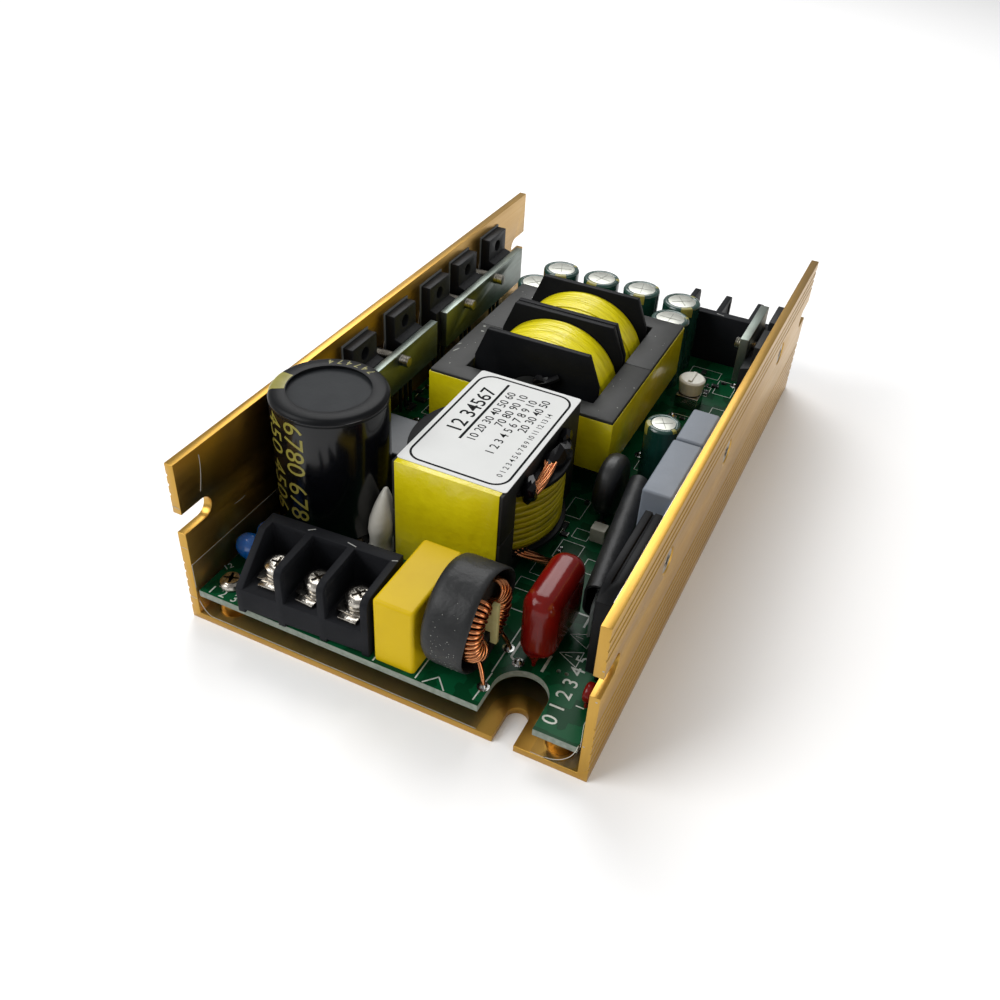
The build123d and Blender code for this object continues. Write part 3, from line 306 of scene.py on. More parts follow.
# Yellow polyester tape: clear lemon yellow, with painted shade a little darker in its folds
TAPE = Tape("yellow polyester tape", "#d9cb10", 0.24, shade="#cdbd0a", coat=0.3, wrinkle_mm=9.0,
            wrinkle_depth=0.35)
# The same tape pulled over a round winding, so its wrinkles, with painted shade in their valleys, run along
# the turns
WOUND_TAPE = Tape("wound polyester tape", "#e4d60c", 0.26, shade="#cfc10a", coat=0.1, wrinkle_mm=1.8,
                  wrinkle_depth=0.5, stretch=(7.0, 1.0, 7.0))
# Tape over the inductor's turns: a darker copy of the yellow tape, painted shade for the shadowed winding,
# olive with painted shade in its folds, with the turns showing through
SHADED_TURN_TAPE = Tape("tape over fine turns, painted shade", "#c4b60c", 0.3, shade="#988c07", coat=0.1, wrinkle_mm=1.8,
                 wrinkle_depth=0.35, stretch=(7.0, 7.0, 1.0))
# Yellow moulded case of the box capacitor: opaque, satin
YELLOW_CASE = Finish("yellow moulded case", "#cdae0c", 0.38, shade="#c4a40a", shade_mm=7.0,
                     grain_height=0.015, specular=0.15)
# Black shrink sleeve: soft gloss over an uneven surface
SHRINK = Finish("black shrink sleeve", "#121314", 0.46, shade="#232425", shade_mm=4.0, shade_share=0.8,
                grain_mm=2.6, grain_height=0.22, specular=0.3)
# Black tube pressed into flat facets
CRUMPLED = Finish("crumpled black tube", "#08080a", 0.18, coat=0.06, specular=0.2)
# Printed film sleeve of the big capacitor: thin, black and glossy
SLEEVE = Finish("black film sleeve", "#050609", 0.18, shade="#090a0e", shade_mm=9.0, coat=0.12, specular=0.3)
# The big capacitor's sleeve where it shrank flat over the rim: matt
COLLAR = Finish("shrunk film collar", "#0c0d0f", 0.4, shade="#111214", shade_mm=3.0, specular=0.12)
# Olive print of the sleeves
OLIVE = Finish("olive printing", "#8d8638", 0.35, shade="#7b7530", shade_mm=2.0)
# Film sleeve of the small capacitors: very dark green
GREEN_SLEEVE = Finish("dark green film sleeve", "#0f3029", 0.24, shade="#17423a", shade_mm=4.0, coat=0.3)
# Dark scored disc of the big capacitor
VENT = Finish("black vent disc", "#26282a", 0.5, shade="#2c2e30", shade_mm=4.0, grain_mm=0.8,
              grain_height=0.03, specular=0.1)
# Enamelled copper wire: orange-brown with a sharp highlight
COPPER = Finish("enamelled copper wire", "#d08a58", 0.22, 1.0, shade="#a05c32", shade_mm=1.5, coat=0.5)
# Dipped epoxies: glassy coat over a slightly uneven body
RED_DIP = Finish("red dipped epoxy", "#5f0b07", 0.17, shade="#700f09", shade_mm=5.0, grain_mm=3.0,
                 grain_height=0.05, coat=0.06, specular=0.25)
BLUE_DIP = Finish("blue dipped epoxy", "#085cb4", 0.25, shade="#0c66c0", shade_mm=3.0, grain_mm=2.0,
                  grain_height=0.06, coat=0.6)
BLACK_DIP = Finish("black dipped epoxy", "#111213", 0.42, shade="#1a1b1c", shade_mm=2.5, grain_mm=1.2,
                   grain_height=0.05)
# Silicone rubber caps: slate grey-blue and matt
RUBBER = Finish("grey silicone rubber", "#666e79", 0.5, shade="#707883", shade_mm=6.0,
                grain_height=0.02, sheen=0.1)
# White silicone glue: soft satin, slightly uneven
GLUE = Finish("white silicone glue", "#c9c6bb", 0.35, shade="#d8d5cb", shade_mm=3.0, grain_mm=2.0,
              grain_height=0.12)
# Dried flux on the ferrite and dust on the choke's sleeve
DUST = Finish("dried flux", "#8b8d87", 0.6)
# Translucent nylon of the trimmer's knob
KNOB = Finish("translucent nylon", "#efede5", 0.34, shade="#e4e2d8", shade_mm=2.0)
# Grey-blue moulded case of the relay
RELAY = Finish("grey moulded case", "#2c3138", 0.42, shade="#333940", shade_mm=4.0,
               grain_height=0.015)
# Pale moulded nylon of the small box part
PALE = Finish("pale moulded nylon", "#c4c2b4", 0.36, shade="#b7b5a6", shade_mm=2.0,
              grain_height=0.015)
# Fibre sheet between the choke's windings
FIBRE = Finish("fibre sheet", "#b3ad77", 0.7, shade="#a39c66", shade_mm=1.5, grain_mm=0.4, grain_height=0.02)
# Grey heat-conducting pad
PAD = Finish("grey silicone pad", "#5b5e5e", 0.6, shade="#515454", shade_mm=2.0)
# Green solder mask over the copper tracks
MASK = SolderMask("green solder mask", "#083a20", 0.24, shade="#0a4a2b", specular=0.07)
# Cut edge of the laminate: pale grey-green glass fibre
LAMINATE = Finish("cut glass fibre laminate", "#868d82", 0.7, shade="#687166", shade_mm=0.8)
# Clear film: thin, slightly smoky, with soft waves
FILM = Finish("clear polyester film", "#6f6654", 0.14, grain_mm=9.0, grain_height=0.4, alpha=0.07)
# Painted highlight: pale line that stands for the glint on the film's cut edge
FILM_EDGE_GLINT = Finish("painted glint on cut film edge", "#d8d4c8", 0.3, alpha=0.55)
# Tinned solder and leads
SOLDER = Finish("tinned solder", "#a9aaa8", 0.26, 1.0, shade="#7c7d7b", shade_mm=0.8, grain_mm=0.7,
                grain_height=0.06)
# White silkscreen ink
INK = Finish("white printing ink", "#d2d6cf", 0.55, shade="#aab0a8", shade_mm=1.0)
# White paper label with a thin varnish
PAPER = Finish("white paper label", "#c6c7c5", 0.42, shade="#bebfbd", shade_mm=12.0, coat=0.06)
# Black print of the label
PRINT = Finish("black print", "#0a0b0c", 0.6, specular=0.08)
# Painted shade of the pressed lines in the tops of the cans: darker strips that stand for the shade in the
# grooves
SCORE_SHADE = Finish("painted shade of pressed score", "#85867f", 0.5, 1.0)
# Glass of the fuse, hidden in its sleeve
GLASS = Finish("fuse glass", "#c9d0cd", 0.1, alpha=0.5)
# White studio floor
FLOOR = Finish("pale floor", "#ffffff", 0.8)


def put(name: str, data: bpy.types.ID) -> Piece:
    """Put a new object of some data into the scene and return it."""
    thing = bpy.data.objects.new(name, data)
    bpy.context.collection.objects.link(thing)
    return thing


def mesh_of(name: str, shape: Shape) -> bpy.types.Mesh:
    """Turn a shape into a mesh and free it."""
    mesh = bpy.data.meshes.new(name)
    shape.to_mesh(mesh)
    shape.free()
    return mesh


def empty_tree(owner: bpy.types.ID) -> Tree:
    """Return the node tree of a material or world, with no node in it."""
    owner.use_nodes = True
    owner.node_tree.nodes.clear()
    return owner.node_tree


def round_edges(shape: Shape, edges: list[bmesh.types.BMEdge], width: float, segments: int = 2) -> None:
    """Round some edges of a shape to a width, in a number of steps."""
    bmesh.ops.bevel(shape, geom=edges, offset=width, offset_type="OFFSET", segments=segments, profile=0.5,
                    affect="EDGES", clamp_overlap=True, material=-1)


def spin_profile(shape: Shape, profile: list[Flat], steps: int, angle: float = 360.0) -> None:
    """Draw a profile of radii and heights in a shape and spin it about the upright by some degrees."""
    points = [shape.verts.new((reach, 0, height)) for reach, height in profile]
    lines = [shape.edges.new(pair) for pair in zip(points, points[1:])]
    bmesh.ops.spin(shape, geom=points + lines, cent=(0, 0, 0), axis=(0, 0, 1), angle=radians(angle),
                   steps=steps, use_merge=angle == 360)


def new_verts(grown: dict) -> list[bmesh.types.BMVert]:
    """Return the vertices that an extrusion made."""
    return [item for item in grown["geom"] if isinstance(item, bmesh.types.BMVert)]


def welded(node: str) -> Shape:
    """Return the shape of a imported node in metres, with its faces joined."""
    shape = bmesh.new()
    shape.from_mesh(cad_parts[node].data)
    bmesh.ops.remove_doubles(shape, verts=shape.verts, dist=PACKED_WELD * MM)
    return shape


def piece_from(name: str, shape: Shape, finish: Finish, body: str = SUPPLY,
               angle: float = SMOOTH_BELOW) -> Piece:
    """Make a finished shape a piece that rides on a body.

    Args:
        name: Name of the piece.
        shape: Its shape in metres, freed here.
        finish: Its finish.
        body: Body that carries it.
        angle: Edges that turn more than this many degrees stay sharp.

    Returns:
        The piece.
    """
    mesh = mesh_of(name, shape)
    mesh.materials.append(finish.material())
    mesh.polygons.foreach_set("use_smooth", [True] * len(mesh.polygons))
    mesh.set_sharp_from_angle(angle=radians(angle))
    piece = put(name, mesh)
    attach(piece, body)
    log.info("%s: %d faces", name, len(mesh.polygons))
    return piece


def soften(node: str, finish: Finish, bevel: float, segments: int = 2, body: str = SUPPLY) -> None:
    """Replace a node by a welded copy with its sharp edges rounded, so that they catch the light.

    Args:
        node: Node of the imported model.
        finish: Finish of the copy.
        bevel: Width of the rounded edges in millimetres.
        segments: Steps of each rounded edge.
        body: Body that carries the piece.
    """
    shape = welded(node)
    bmesh.ops.dissolve_limit(shape, angle_limit=radians(FLAT_BELOW), verts=shape.verts, edges=shape.edges)
    limit = radians(ROUND_ABOVE)
    sharp = [edge for edge in shape.edges if edge.is_manifold and edge.calc_face_angle() > limit]
    if bevel:
        round_edges(shape, sharp, bevel * MM, segments)
    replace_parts(piece_from(node + "_shown", shape, finish, body), node)


class Form:
    """Shape in progress, in millimetres, that grows by mesh operators."""

    def __init__(self) -> None:
        """Start with nothing."""
        self.shape = bmesh.new()

    def join(self, other: Shape, place: Matrix = UPRIGHT) -> None:
        """Move another shape to its place, add it and free it."""
        bmesh.ops.transform(other, matrix=place, verts=other.verts)
        mesh = mesh_of("joined", other)
        self.shape.from_mesh(mesh)
        bpy.data.meshes.remove(mesh)

    def box(self, low: Point, high: Point, place: Matrix = UPRIGHT, edge: float = 0.0) -> None:
        """Add a box between two corners, with its edges rounded to a width."""
        part = bmesh.new()
        size = Vector(high) - Vector(low)
        middle = Matrix.Translation((Vector(high) + Vector(low)) / 2)
        bmesh.ops.create_cube(part, size=1, matrix=middle @ Matrix.Diagonal((*size, 1)))
        if edge:
            round_edges(part, part.edges[:], edge)
        self.join(part, place)

    def bar(self, start: Point, end: Point, width: float, height: float) -> None:
        """Add a flat bar from one point to another at the same height."""
        span = Vector(end) - Vector(start)
        place = Matrix.Translation(start) @ Matrix.Rotation(atan2(span.y, span.x), 4, "Z")
        self.box((0, -width / 2, 0), (span.length, width / 2, height), place)

    def outline(self, points: list[Flat], z: float, width: float, closed: bool = False) -> None:
        """Add a thin printed line through the points at one height."""
        ends = points[1:] + points[:1] if closed else points[1:]
        for start, end in zip(points, ends):
            self.bar((*start, z), (*end, z), width, LINE_THICKNESS)

    def rod(self, start: Point, end: Point, radius: float, steps: int = 16) -> None:
        """Add a round rod."""
        span = Vector(end) - Vector(start)
        turn = span.to_track_quat("Z", "Y").to_matrix().to_4x4()
        part = bmesh.new()
        bmesh.ops.create_cone(part, cap_ends=True, segments=steps, radius1=radius, radius2=radius,
                              depth=span.length)
        self.join(part, Matrix.Translation((Vector(start) + Vector(end)) / 2) @ turn)

    def ball(self, centre: Point, radii: Point, place: Matrix = UPRIGHT, steps: int = 20) -> None:
        """Add a ball with its own radius along each axis."""
        part = bmesh.new()
        bmesh.ops.create_uvsphere(part, u_segments=steps, v_segments=steps // 2, radius=1)
        self.join(part, place @ Matrix.Translation(centre) @ Matrix.Diagonal((*radii, 1)))

    def turned(self, profile: list[Flat], place: Matrix = UPRIGHT, steps: int = 48, angle: float = 360.0,
               thick: float = 0.0) -> None:
        """Turn a profile of radii and heights about the upright.

        Args:
            profile: Radius and height of each point.
            place: Place of the turned shape.
            steps: Steps of the turn.
            angle: Degrees of the turn.
            thick: Thickness that the turned skin gets, or zero for a closed profile.
        """
        part = bmesh.new()
        spin_profile(part, profile, steps, angle)
        bmesh.ops.remove_doubles(part, verts=part.verts, dist=TURNED_WELD)
        if thick:
            bmesh.ops.solidify(part, geom=part.faces[:], thickness=thick)
        bmesh.ops.recalc_face_normals(part, faces=part.faces)
        self.join(part, place)

    def prism(self, outline: list[Flat], depth: float, place: Matrix = UPRIGHT) -> None:
        """Raise a flat outline to a depth."""
        part = bmesh.new()
        face = part.faces.new([part.verts.new((x, y, 0)) for x, y in outline])
        grown = bmesh.ops.extrude_face_region(part, geom=[face])
        bmesh.ops.translate(part, verts=new_verts(grown), vec=(0, 0, depth))
        bmesh.ops.recalc_face_normals(part, faces=part.faces)
        self.join(part, place)

    def wire(self, path: list[Point], radius: float, closed: bool = False, steps: int = 3,
             resolution: int = 4) -> None:
        """Add a round wire along a smooth path.

        Args:
            path: Points that steer the path.
            radius: Radius of the wire.
            closed: Whether the path runs back to its start.
            steps: Steps of each quarter of the wire's section.
            resolution: Steps between two points.
        """
        curve = bpy.data.curves.new("wire", "CURVE")
        curve.dimensions = "3D"
        curve.bevel_depth = radius
        curve.bevel_resolution = steps
        curve.use_fill_caps = not closed
        spline = curve.splines.new("NURBS")
        spline.points.add(len(path) - 1)
        for point, place in zip(spline.points, path):
            point.co = (*place, 1)
        spline.use_cyclic_u = closed
        spline.use_endpoint_u = not closed
        spline.order_u = min(4, len(path))
        spline.resolution_u = resolution
        self.drawn(curve)

    def drawn(self, curve: bpy.types.Curve, place: Matrix = UPRIGHT) -> None:
        """Add the mesh of a curve or of figures."""
        holder = put("drawn", curve)
        graph = bpy.context.evaluated_depsgraph_get()
        mesh = bpy.data.meshes.new_from_object(holder.evaluated_get(graph))
        part = bmesh.new()
        part.from_mesh(mesh)
        bpy.data.objects.remove(holder)
        bpy.data.meshes.remove(mesh)
        bpy.data.curves.remove(curve)
        bmesh.ops.remove_doubles(part, verts=part.verts, dist=DRAWN_WELD)
        self.join(part, place)

    def figures(self, text: str, height: float, place: Matrix, weight: float = 0.0) -> None:
        """Add plain printed figures of a height, made heavier by a weight in millimetres."""
        curve = bpy.data.curves.new("figures", "FONT")
        curve.body = text
        curve.size = height / DIGIT_SHARE
        curve.extrude = DIGIT_THICKNESS / 2
        curve.offset = weight
        curve.resolution_u = 3
        self.drawn(curve, place)

    def bend(self, centre: Flat, radius: float, start: float, top: float, step: float = 0.4) -> None:
        """Lay a flat shape round an upright cylinder: its x runs down from the top, its y runs round.

        Args:
            centre: Axis of the cylinder.
            radius: Radius of the cylinder.
            start: Angle in degrees where y is zero.
            top: Height where x is zero.
            step: Distance round the cylinder between the cuts that let the shape bend.
        """
        reaches = [vert.co.y for vert in self.shape.verts]
        for number in range(int(min(reaches) / step), int(max(reaches) / step) + 1):
            whole = self.shape.verts[:] + self.shape.edges[:] + self.shape.faces[:]
            bmesh.ops.bisect_plane(self.shape, geom=whole, plane_co=(0, number * step, 0), plane_no=(0, 1, 0))
        for vert in self.shape.verts:
            down, along, out = vert.co
            angle = radians(start) + along / radius
            reach = radius + out
            vert.co = (centre[0] + reach * cos(angle), centre[1] + reach * sin(angle), top - down)

    def crumple(self, centre: Point, radii: Point, seed: int, depth: float, turn: float) -> None:
        """Add a lump of pressed tubing, creased by a few sharp random waves.

        Args:
            centre: Middle of the lump.
            radii: Its reach along each axis.
            seed: Seed of its creases.
            depth: Depth of the creases as a share of the reach.
            turn: Turn about the upright in degrees.
        """
        chance = random.Random(seed)
        part = bmesh.new()
        bmesh.ops.create_icosphere(part, subdivisions=2, radius=1)
        folds = []
        for _ in range(5):
            way = Vector([chance.uniform(-1, 1) for _ in range(3)])
            folds.append((way, chance.uniform(1.4, 3.2), chance.uniform(0, 6)))
        for vert in part.verts:
            waves = [abs(sin(vert.co.dot(way) * rate + phase)) for way, rate, phase in folds]
            vert.co *= 1 - depth + depth * 2 * (sum(waves) / len(waves) - 0.3)
            vert.co *= chance.uniform(1 - depth / 2, 1)
        self.join(part, at(*centre, turn) @ Matrix.Diagonal((*radii, 1)))

    def piece(self, name: str, finish: Finish, node: str, angle: float = SMOOTH_BELOW) -> Piece:
        """Turn the shape to metres and make it a piece of the supply; the node is not used."""
        bmesh.ops.scale(self.shape, vec=(MM, MM, MM), verts=self.shape.verts)
        return piece_from(name, self.shape, finish, angle=angle)

    def stand_for(self, node: str, name: str, finish: Finish, angle: float = SMOOTH_BELOW) -> None:
        """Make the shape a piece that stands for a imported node."""
        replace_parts(self.piece(name, finish, node, angle), node)


def rounded(low: Flat, high: Flat, radius: float, steps: int = 6) -> list[Flat]:
    """Return the outline of a rectangle with round corners.

    Args:
        low: Its lower left corner.
        high: Its upper right corner.
        radius: Radius of its corners.
        steps: Steps of each corner.

    Returns:
        The points, counted against the clock.
    """
    centres = [
        (high[0] - radius, low[1] + radius, -90),
        (high[0] - radius, high[1] - radius, 0),
        (low[0] + radius, high[1] - radius, 90),
        (low[0] + radius, low[1] + radius, 180),
    ]
    points = []
    for x, y, start in centres:
        for step in range(steps + 1):
            angle = radians(start + 90 * step / steps)
            points.append((x + radius * cos(angle), y + radius * sin(angle)))
    return points


@dataclass(frozen=True)
class CrossHead:
    """Head of a screw with a cross recess, standing on its seat."""

    radius: float
    height: float
    edge: float = 0.7
    arm: float = 1.55
    arm_width: float = 0.62
    depth: float = 1.1
    taper: float = 0.55

    def add(self, form: Form, place: Matrix) -> None:
        """Add the head to a form at a place."""
        part = bmesh.new()
        flat = max(self.arm * 1.18, self.radius - 2.2 * self.edge)
        profile = [
            (self.radius * 0.94, 0),
            (self.radius, self.height * 0.18),
            (self.radius, self.height - self.edge * 1.2),
            (self.radius - self.edge * 0.3, self.height - self.edge * 0.55),
            (self.radius - self.edge, self.height - self.edge * 0.18),
            (flat, self.height),
        ]
        spin_profile(part, profile, 48)
        rim = [edge for edge in part.edges if edge.is_boundary and edge.verts[0].co.z > self.height * 0.9]
        recess = self.recess(part)
        bmesh.ops.bridge_loops(part, edges=rim + recess)
        low = new_verts(bmesh.ops.extrude_edge_only(part, edges=recess))
        bmesh.ops.translate(part, verts=low, vec=(0, 0, -self.depth))
        bmesh.ops.scale(part, verts=low, vec=(self.taper, self.taper, 1))
        bmesh.ops.edgeloop_fill(part, edges=[edge for edge in part.edges if edge.is_boundary])
        bmesh.ops.recalc_face_normals(part, faces=part.faces)
        form.join(part, place)

    def recess(self, part: Shape) -> list[bmesh.types.BMEdge]:
        """Draw the recess's cross outline on top of the head and return its edges."""
        before = set(part.edges)
        half = self.arm_width / 2
        corners = []
        for quarter in range(4):
            turn = Matrix.Rotation(quarter * pi / 2, 4, "Z")
            for x, y in ((self.arm, -half), (self.arm, half), (half, half)):
                corners.append(part.verts.new(turn @ Vector((x, y, self.height))))
        sides = [part.edges.new(pair) for pair in zip(corners, corners[1:] + corners[:1])]
        bmesh.ops.subdivide_edges(part, edges=sides, cuts=3)
        return [edge for edge in part.edges if edge not in before]


@dataclass(frozen=True)
class TerminalBlock:
    """Loose parts of one terminal block: screws, clamp plates and scuffed edges.

    The block's own frame has its corner at the left end of its open front, with x along the ways.
    """

    corner: Point
    turn: float
    seed: int
    ways: Point = (5.5, 14.9, 24.3)
    screw_back: float = 7.4
    ledge: float = 6.36
    head: CrossHead = CrossHead(3.0, 2.1)
    washer: float = 6.4
    washer_thickness: float = 0.75
    tab_width: float = 4.2
    wall_back: float = 14.2
    wall_top: float = 14.72
    scuffs: tuple[Point, ...] = ((9.2, 1.6, 40), (18.6, 2.2, -10), (28.4, 1.2, 25))

    def build(self, screws: Form, plates: Form, marks: Form) -> None:
        """Add the parts of the block to three forms."""
        chance = random.Random(self.seed)
        block = at(*self.corner, self.turn)
        half = self.washer / 2
        tab = self.tab_width / 2
        for way in self.ways:
            seat = block @ at(way, self.screw_back, self.ledge, chance.uniform(-4, 4))
            top = 0.35 + self.washer_thickness
            plates.box((-half, -half - 0.4, 0.35), (half, half, top), seat, 0.18)
            plates.box((-tab, -half - 1.9, 0), (tab, -half + 0.6, 0.8), seat, 0.25)
            for side in (-1, 1):
                cheek = side * half
                plates.box((cheek - 0.35, -half + 0.6, -0.2), (cheek + 0.35, half - 0.8, 0.9), seat, 0.15)
            lean = Matrix.Rotation(radians(chance.uniform(-3, 3)), 4, "X")
            spring = [(1.6, 0), (2.75, 0), (2.85, 0.2), (2.75, 0.45), (1.6, 0.45), (1.6, 0)]
            screws.turned(spring, seat @ at(0, 0, 1.05) @ lean)
            self.head.add(screws, seat @ at(0, 0, 1.45, chance.uniform(0, 90)) @ lean)
        for x, length, turn in self.scuffs:
            place = block @ at(x, self.wall_back, self.wall_top, turn)
            marks.box((-length / 2, -0.09, 0), (length / 2, 0.09, 0.05), place)


def build_terminals() -> None:
    """Add the screws, plates and scuffs of both terminal blocks."""
    screws = Form()
    plates = Form()
    marks = Form()
    for x, y, turn, seed in ((-31.66, -79.69, 0.0, 2), (42.3, 82.2, 180.0, 7)):
        TerminalBlock((x, y, BOARD_TOP), turn, seed).build(screws, plates, marks)
    screws.stand_for("terminal_screws", "terminal_screw_heads", NICKEL)
    plates.stand_for("terminal_plates", "terminal_washers", NICKEL)
    marks.piece("terminal_edge_marks", FLASH, "input_terminal_block")


@dataclass(frozen=True)
class Printing:
    """White print on the board: outlines, plain figures and small frames round the parts."""

    line: float = 0.28
    fine: float = 0.16
    height: float = BOARD_TOP + 0.005

    def build(self) -> None:
        """Make the print."""
        form = Form()
        self.lines(form)
        self.frames(form)
        self.numbers(form)
        form.piece("board_printing", INK, "circuit_board")

    def lines(self, form: Form) -> None:
        """Add the long outlines round the parts at the front."""
        paths = [
            ([(20.6, -77.9), (20.9, -70.2)], self.line),
            ([(20.7, -70.0), (20.7, -52.4), (9.0, -52.4)], self.line),
            ([(25.0, -66.3), (22.3, -64.6), (22.3, -47.0), (31.9, -47.0), (31.9, -50.4)], 0.45),
            ([(29.2, -65.4), (29.2, -60.6)], 0.6),
            ([(-32.2, -78.4), (-32.2, -62.8), (-0.9, -61.6), (-0.9, -78.4)], self.line),
            ([(8.5, -78.4), (8.5, -57.2), (-1.2, -57.2)], self.line),
            ([(10.1, -78.6), (12.4, -76.0), (14.8, -78.6)], self.line),
        ]
        for points, width in paths:
            form.outline(points, self.height, width)
        for y in (-59.0, -53.4):
            form.outline([(30.2, y), (34.6, y - 2.2), (34.6, y + 2.2)], self.height, self.fine, closed=True)
            form.outline([(31.4, y), (33.0, y)], self.height, self.fine)

    def frames(self, form: Form) -> None:
        """Add the small frames round the surface parts."""
        spots = [
            (14.2, -46.4, 6.2, 3.8), (15.2, -40.6, 4.2, 5.4), (21.5, -43.0, 5.0, 4.0),
            (17.4, -33.4, 5.2, 6.4), (24.8, -35.0, 6.0, 4.6), (18.6, -25.2, 3.6, 3.4),
            (13.9, -18.6, 4.0, 7.2), (22.2, 6.2, 3.6, 5.6), (29.6, 11.4, 5.2, 4.4),
            (24.6, 18.2, 7.4, 5.6), (30.2, 26.4, 4.2, 6.2), (22.4, 28.2, 6.0, 7.4),
            (31.4, 36.6, 3.4, 6.8), (21.6, 48.0, 6.6, 5.0), (29.2, 50.6, 5.0, 7.6),
            (20.2, 58.0, 8.4, 4.2), (-40.6, 8.0, 3.6, 6.4), (-35.4, 1.8, 5.2, 4.6),
            (-39.8, 24.6, 4.2, 7.2), (-34.6, 33.8, 4.8, 5.2), (-40.2, -33.4, 4.6, 5.6),
            (-34.8, 48.6, 5.4, 7.2), (-41.2, 58.8, 6.2, 4.8), (-18.8, 48.6, 6.4, 5.0),
        ]
        for x, y, width, length in spots:
            corners = [(x, y), (x + width, y), (x + width, y + length), (x, y + length)]
            form.outline(corners, self.height, self.fine, closed=True)

    def numbers(self, form: Form) -> None:
        """Add plain figures in the empty corners of the board."""
        form.figures("0 1 2 3 4 5", 3.0, at(36.7, -76.4, self.height, 90), weight=0.015)
        form.figures("1", 1.7, at(39.9, -70.6, self.height, 90))
        for figure, x in (("1", -40.9), ("2", -38.1), ("3", -35.2)):
            form.figures(figure, 2.1, at(x, -78.3, self.height), weight=0.012)
        form.figures("12", 1.5, at(-41.6, -71.4, self.height, 60))


@dataclass(frozen=True)
class BoardEdge:
    """Pale cut edge of the board, laid on its upright faces."""

    offset: float = 0.02
    thickness: float = 0.01

    def build(self) -> None:
        """Make the edge from the upright faces of the board."""
        shape = welded("circuit_board")
        flat = [face for face in shape.faces if abs(face.normal.z) > 0.5]
        bmesh.ops.delete(shape, geom=flat, context="FACES")
        shape.normal_update()
        for vert in shape.verts:
            vert.co += vert.normal * self.offset * MM
        bmesh.ops.solidify(shape, geom=shape.faces[:], thickness=self.thickness * MM)
        bmesh.ops.recalc_face_normals(shape, faces=shape.faces)
        piece_from("board_edge", shape, LAMINATE)


@dataclass(frozen=True)
class SmallParts:
    """Solder cones and surface parts on the free areas of the board.

    A region is its left, right, front and rear limits and the number of its parts.
    """

    seed: int = 5
    pads: tuple[Flat, ...] = (
        (20.9, -74.1), (20.8, -62.8), (24.2, -65.4), (27.0, -49.4), (-38.0, -62.9), (-34.8, -66.2),
        (22.8, -10.0), (22.8, -17.4), (27.0, 3.2), (30.0, 3.2), (24.8, 46.4), (33.6, 57.4), (33.6, 62.2),
        (31.0, 15.6), (26.4, 22.4), (34.8, 24.0), (23.0, 34.0), (33.6, 31.6), (21.4, 12.6), (20.4, -4.8),
        (-36.4, -12.0), (-34.4, -2.0), (-35.8, 12.4), (-33.2, 22.2), (-36.6, 30.4), (-32.8, 40.0),
        (-37.4, 46.4),
    )
    regions: tuple[tuple[float, float, float, float, int], ...] = (
        (-41, -30.4, -14, 44, 26), (21.6, 33, 8, 34, 12), (20.6, 33.4, 46, 60, 8), (-41, -30, 46, 70, 8),
        (14, 22.6, -56, -10, 6),
    )
    chips: tuple[Point, ...] = ((1.6, 0.8, 0.5), (2.0, 1.25, 0.6), (3.2, 1.6, 0.6))
    cap: float = 0.3

    def build(self) -> None:
        """Make the solder and the surface parts."""
        chance = random.Random(self.seed)
        solder = Form()
        bodies = Form()
        cone = [(0, 0), (1.25, 0), (1.25, 0.05), (0.8, 0.12), (0.45, 0.75), (0, 0.9)]
        for x, y in self.pads:
            solder.turned(cone, at(x, y, BOARD_TOP), 20)
        for left, right, front, rear, count in self.regions:
            for _ in range(count):
                length, width, height = chance.choice(self.chips)
                place = at(chance.uniform(left, right), chance.uniform(front, rear), BOARD_TOP,
                           chance.choice((0, 90)))
                middle = length / 2 - self.cap
                bodies.box((-middle, -width / 2, 0), (middle, width / 2, height), place)
                for side in (-1, 1):
                    end = side * (length / 2 - 0.16)
                    solder.box((end - 0.16, -width / 2, 0), (end + 0.16, width / 2, height - 0.02), place)
        solder.piece("board_solder", SOLDER, "circuit_board")
        bodies.piece("surface_parts", EPOXY, "circuit_board")


@dataclass(frozen=True)
class WallScrew:
    """Screw through a side wall: its side, its place along the wall and how far it shows inside."""

    side: int
    y: float
    length: float


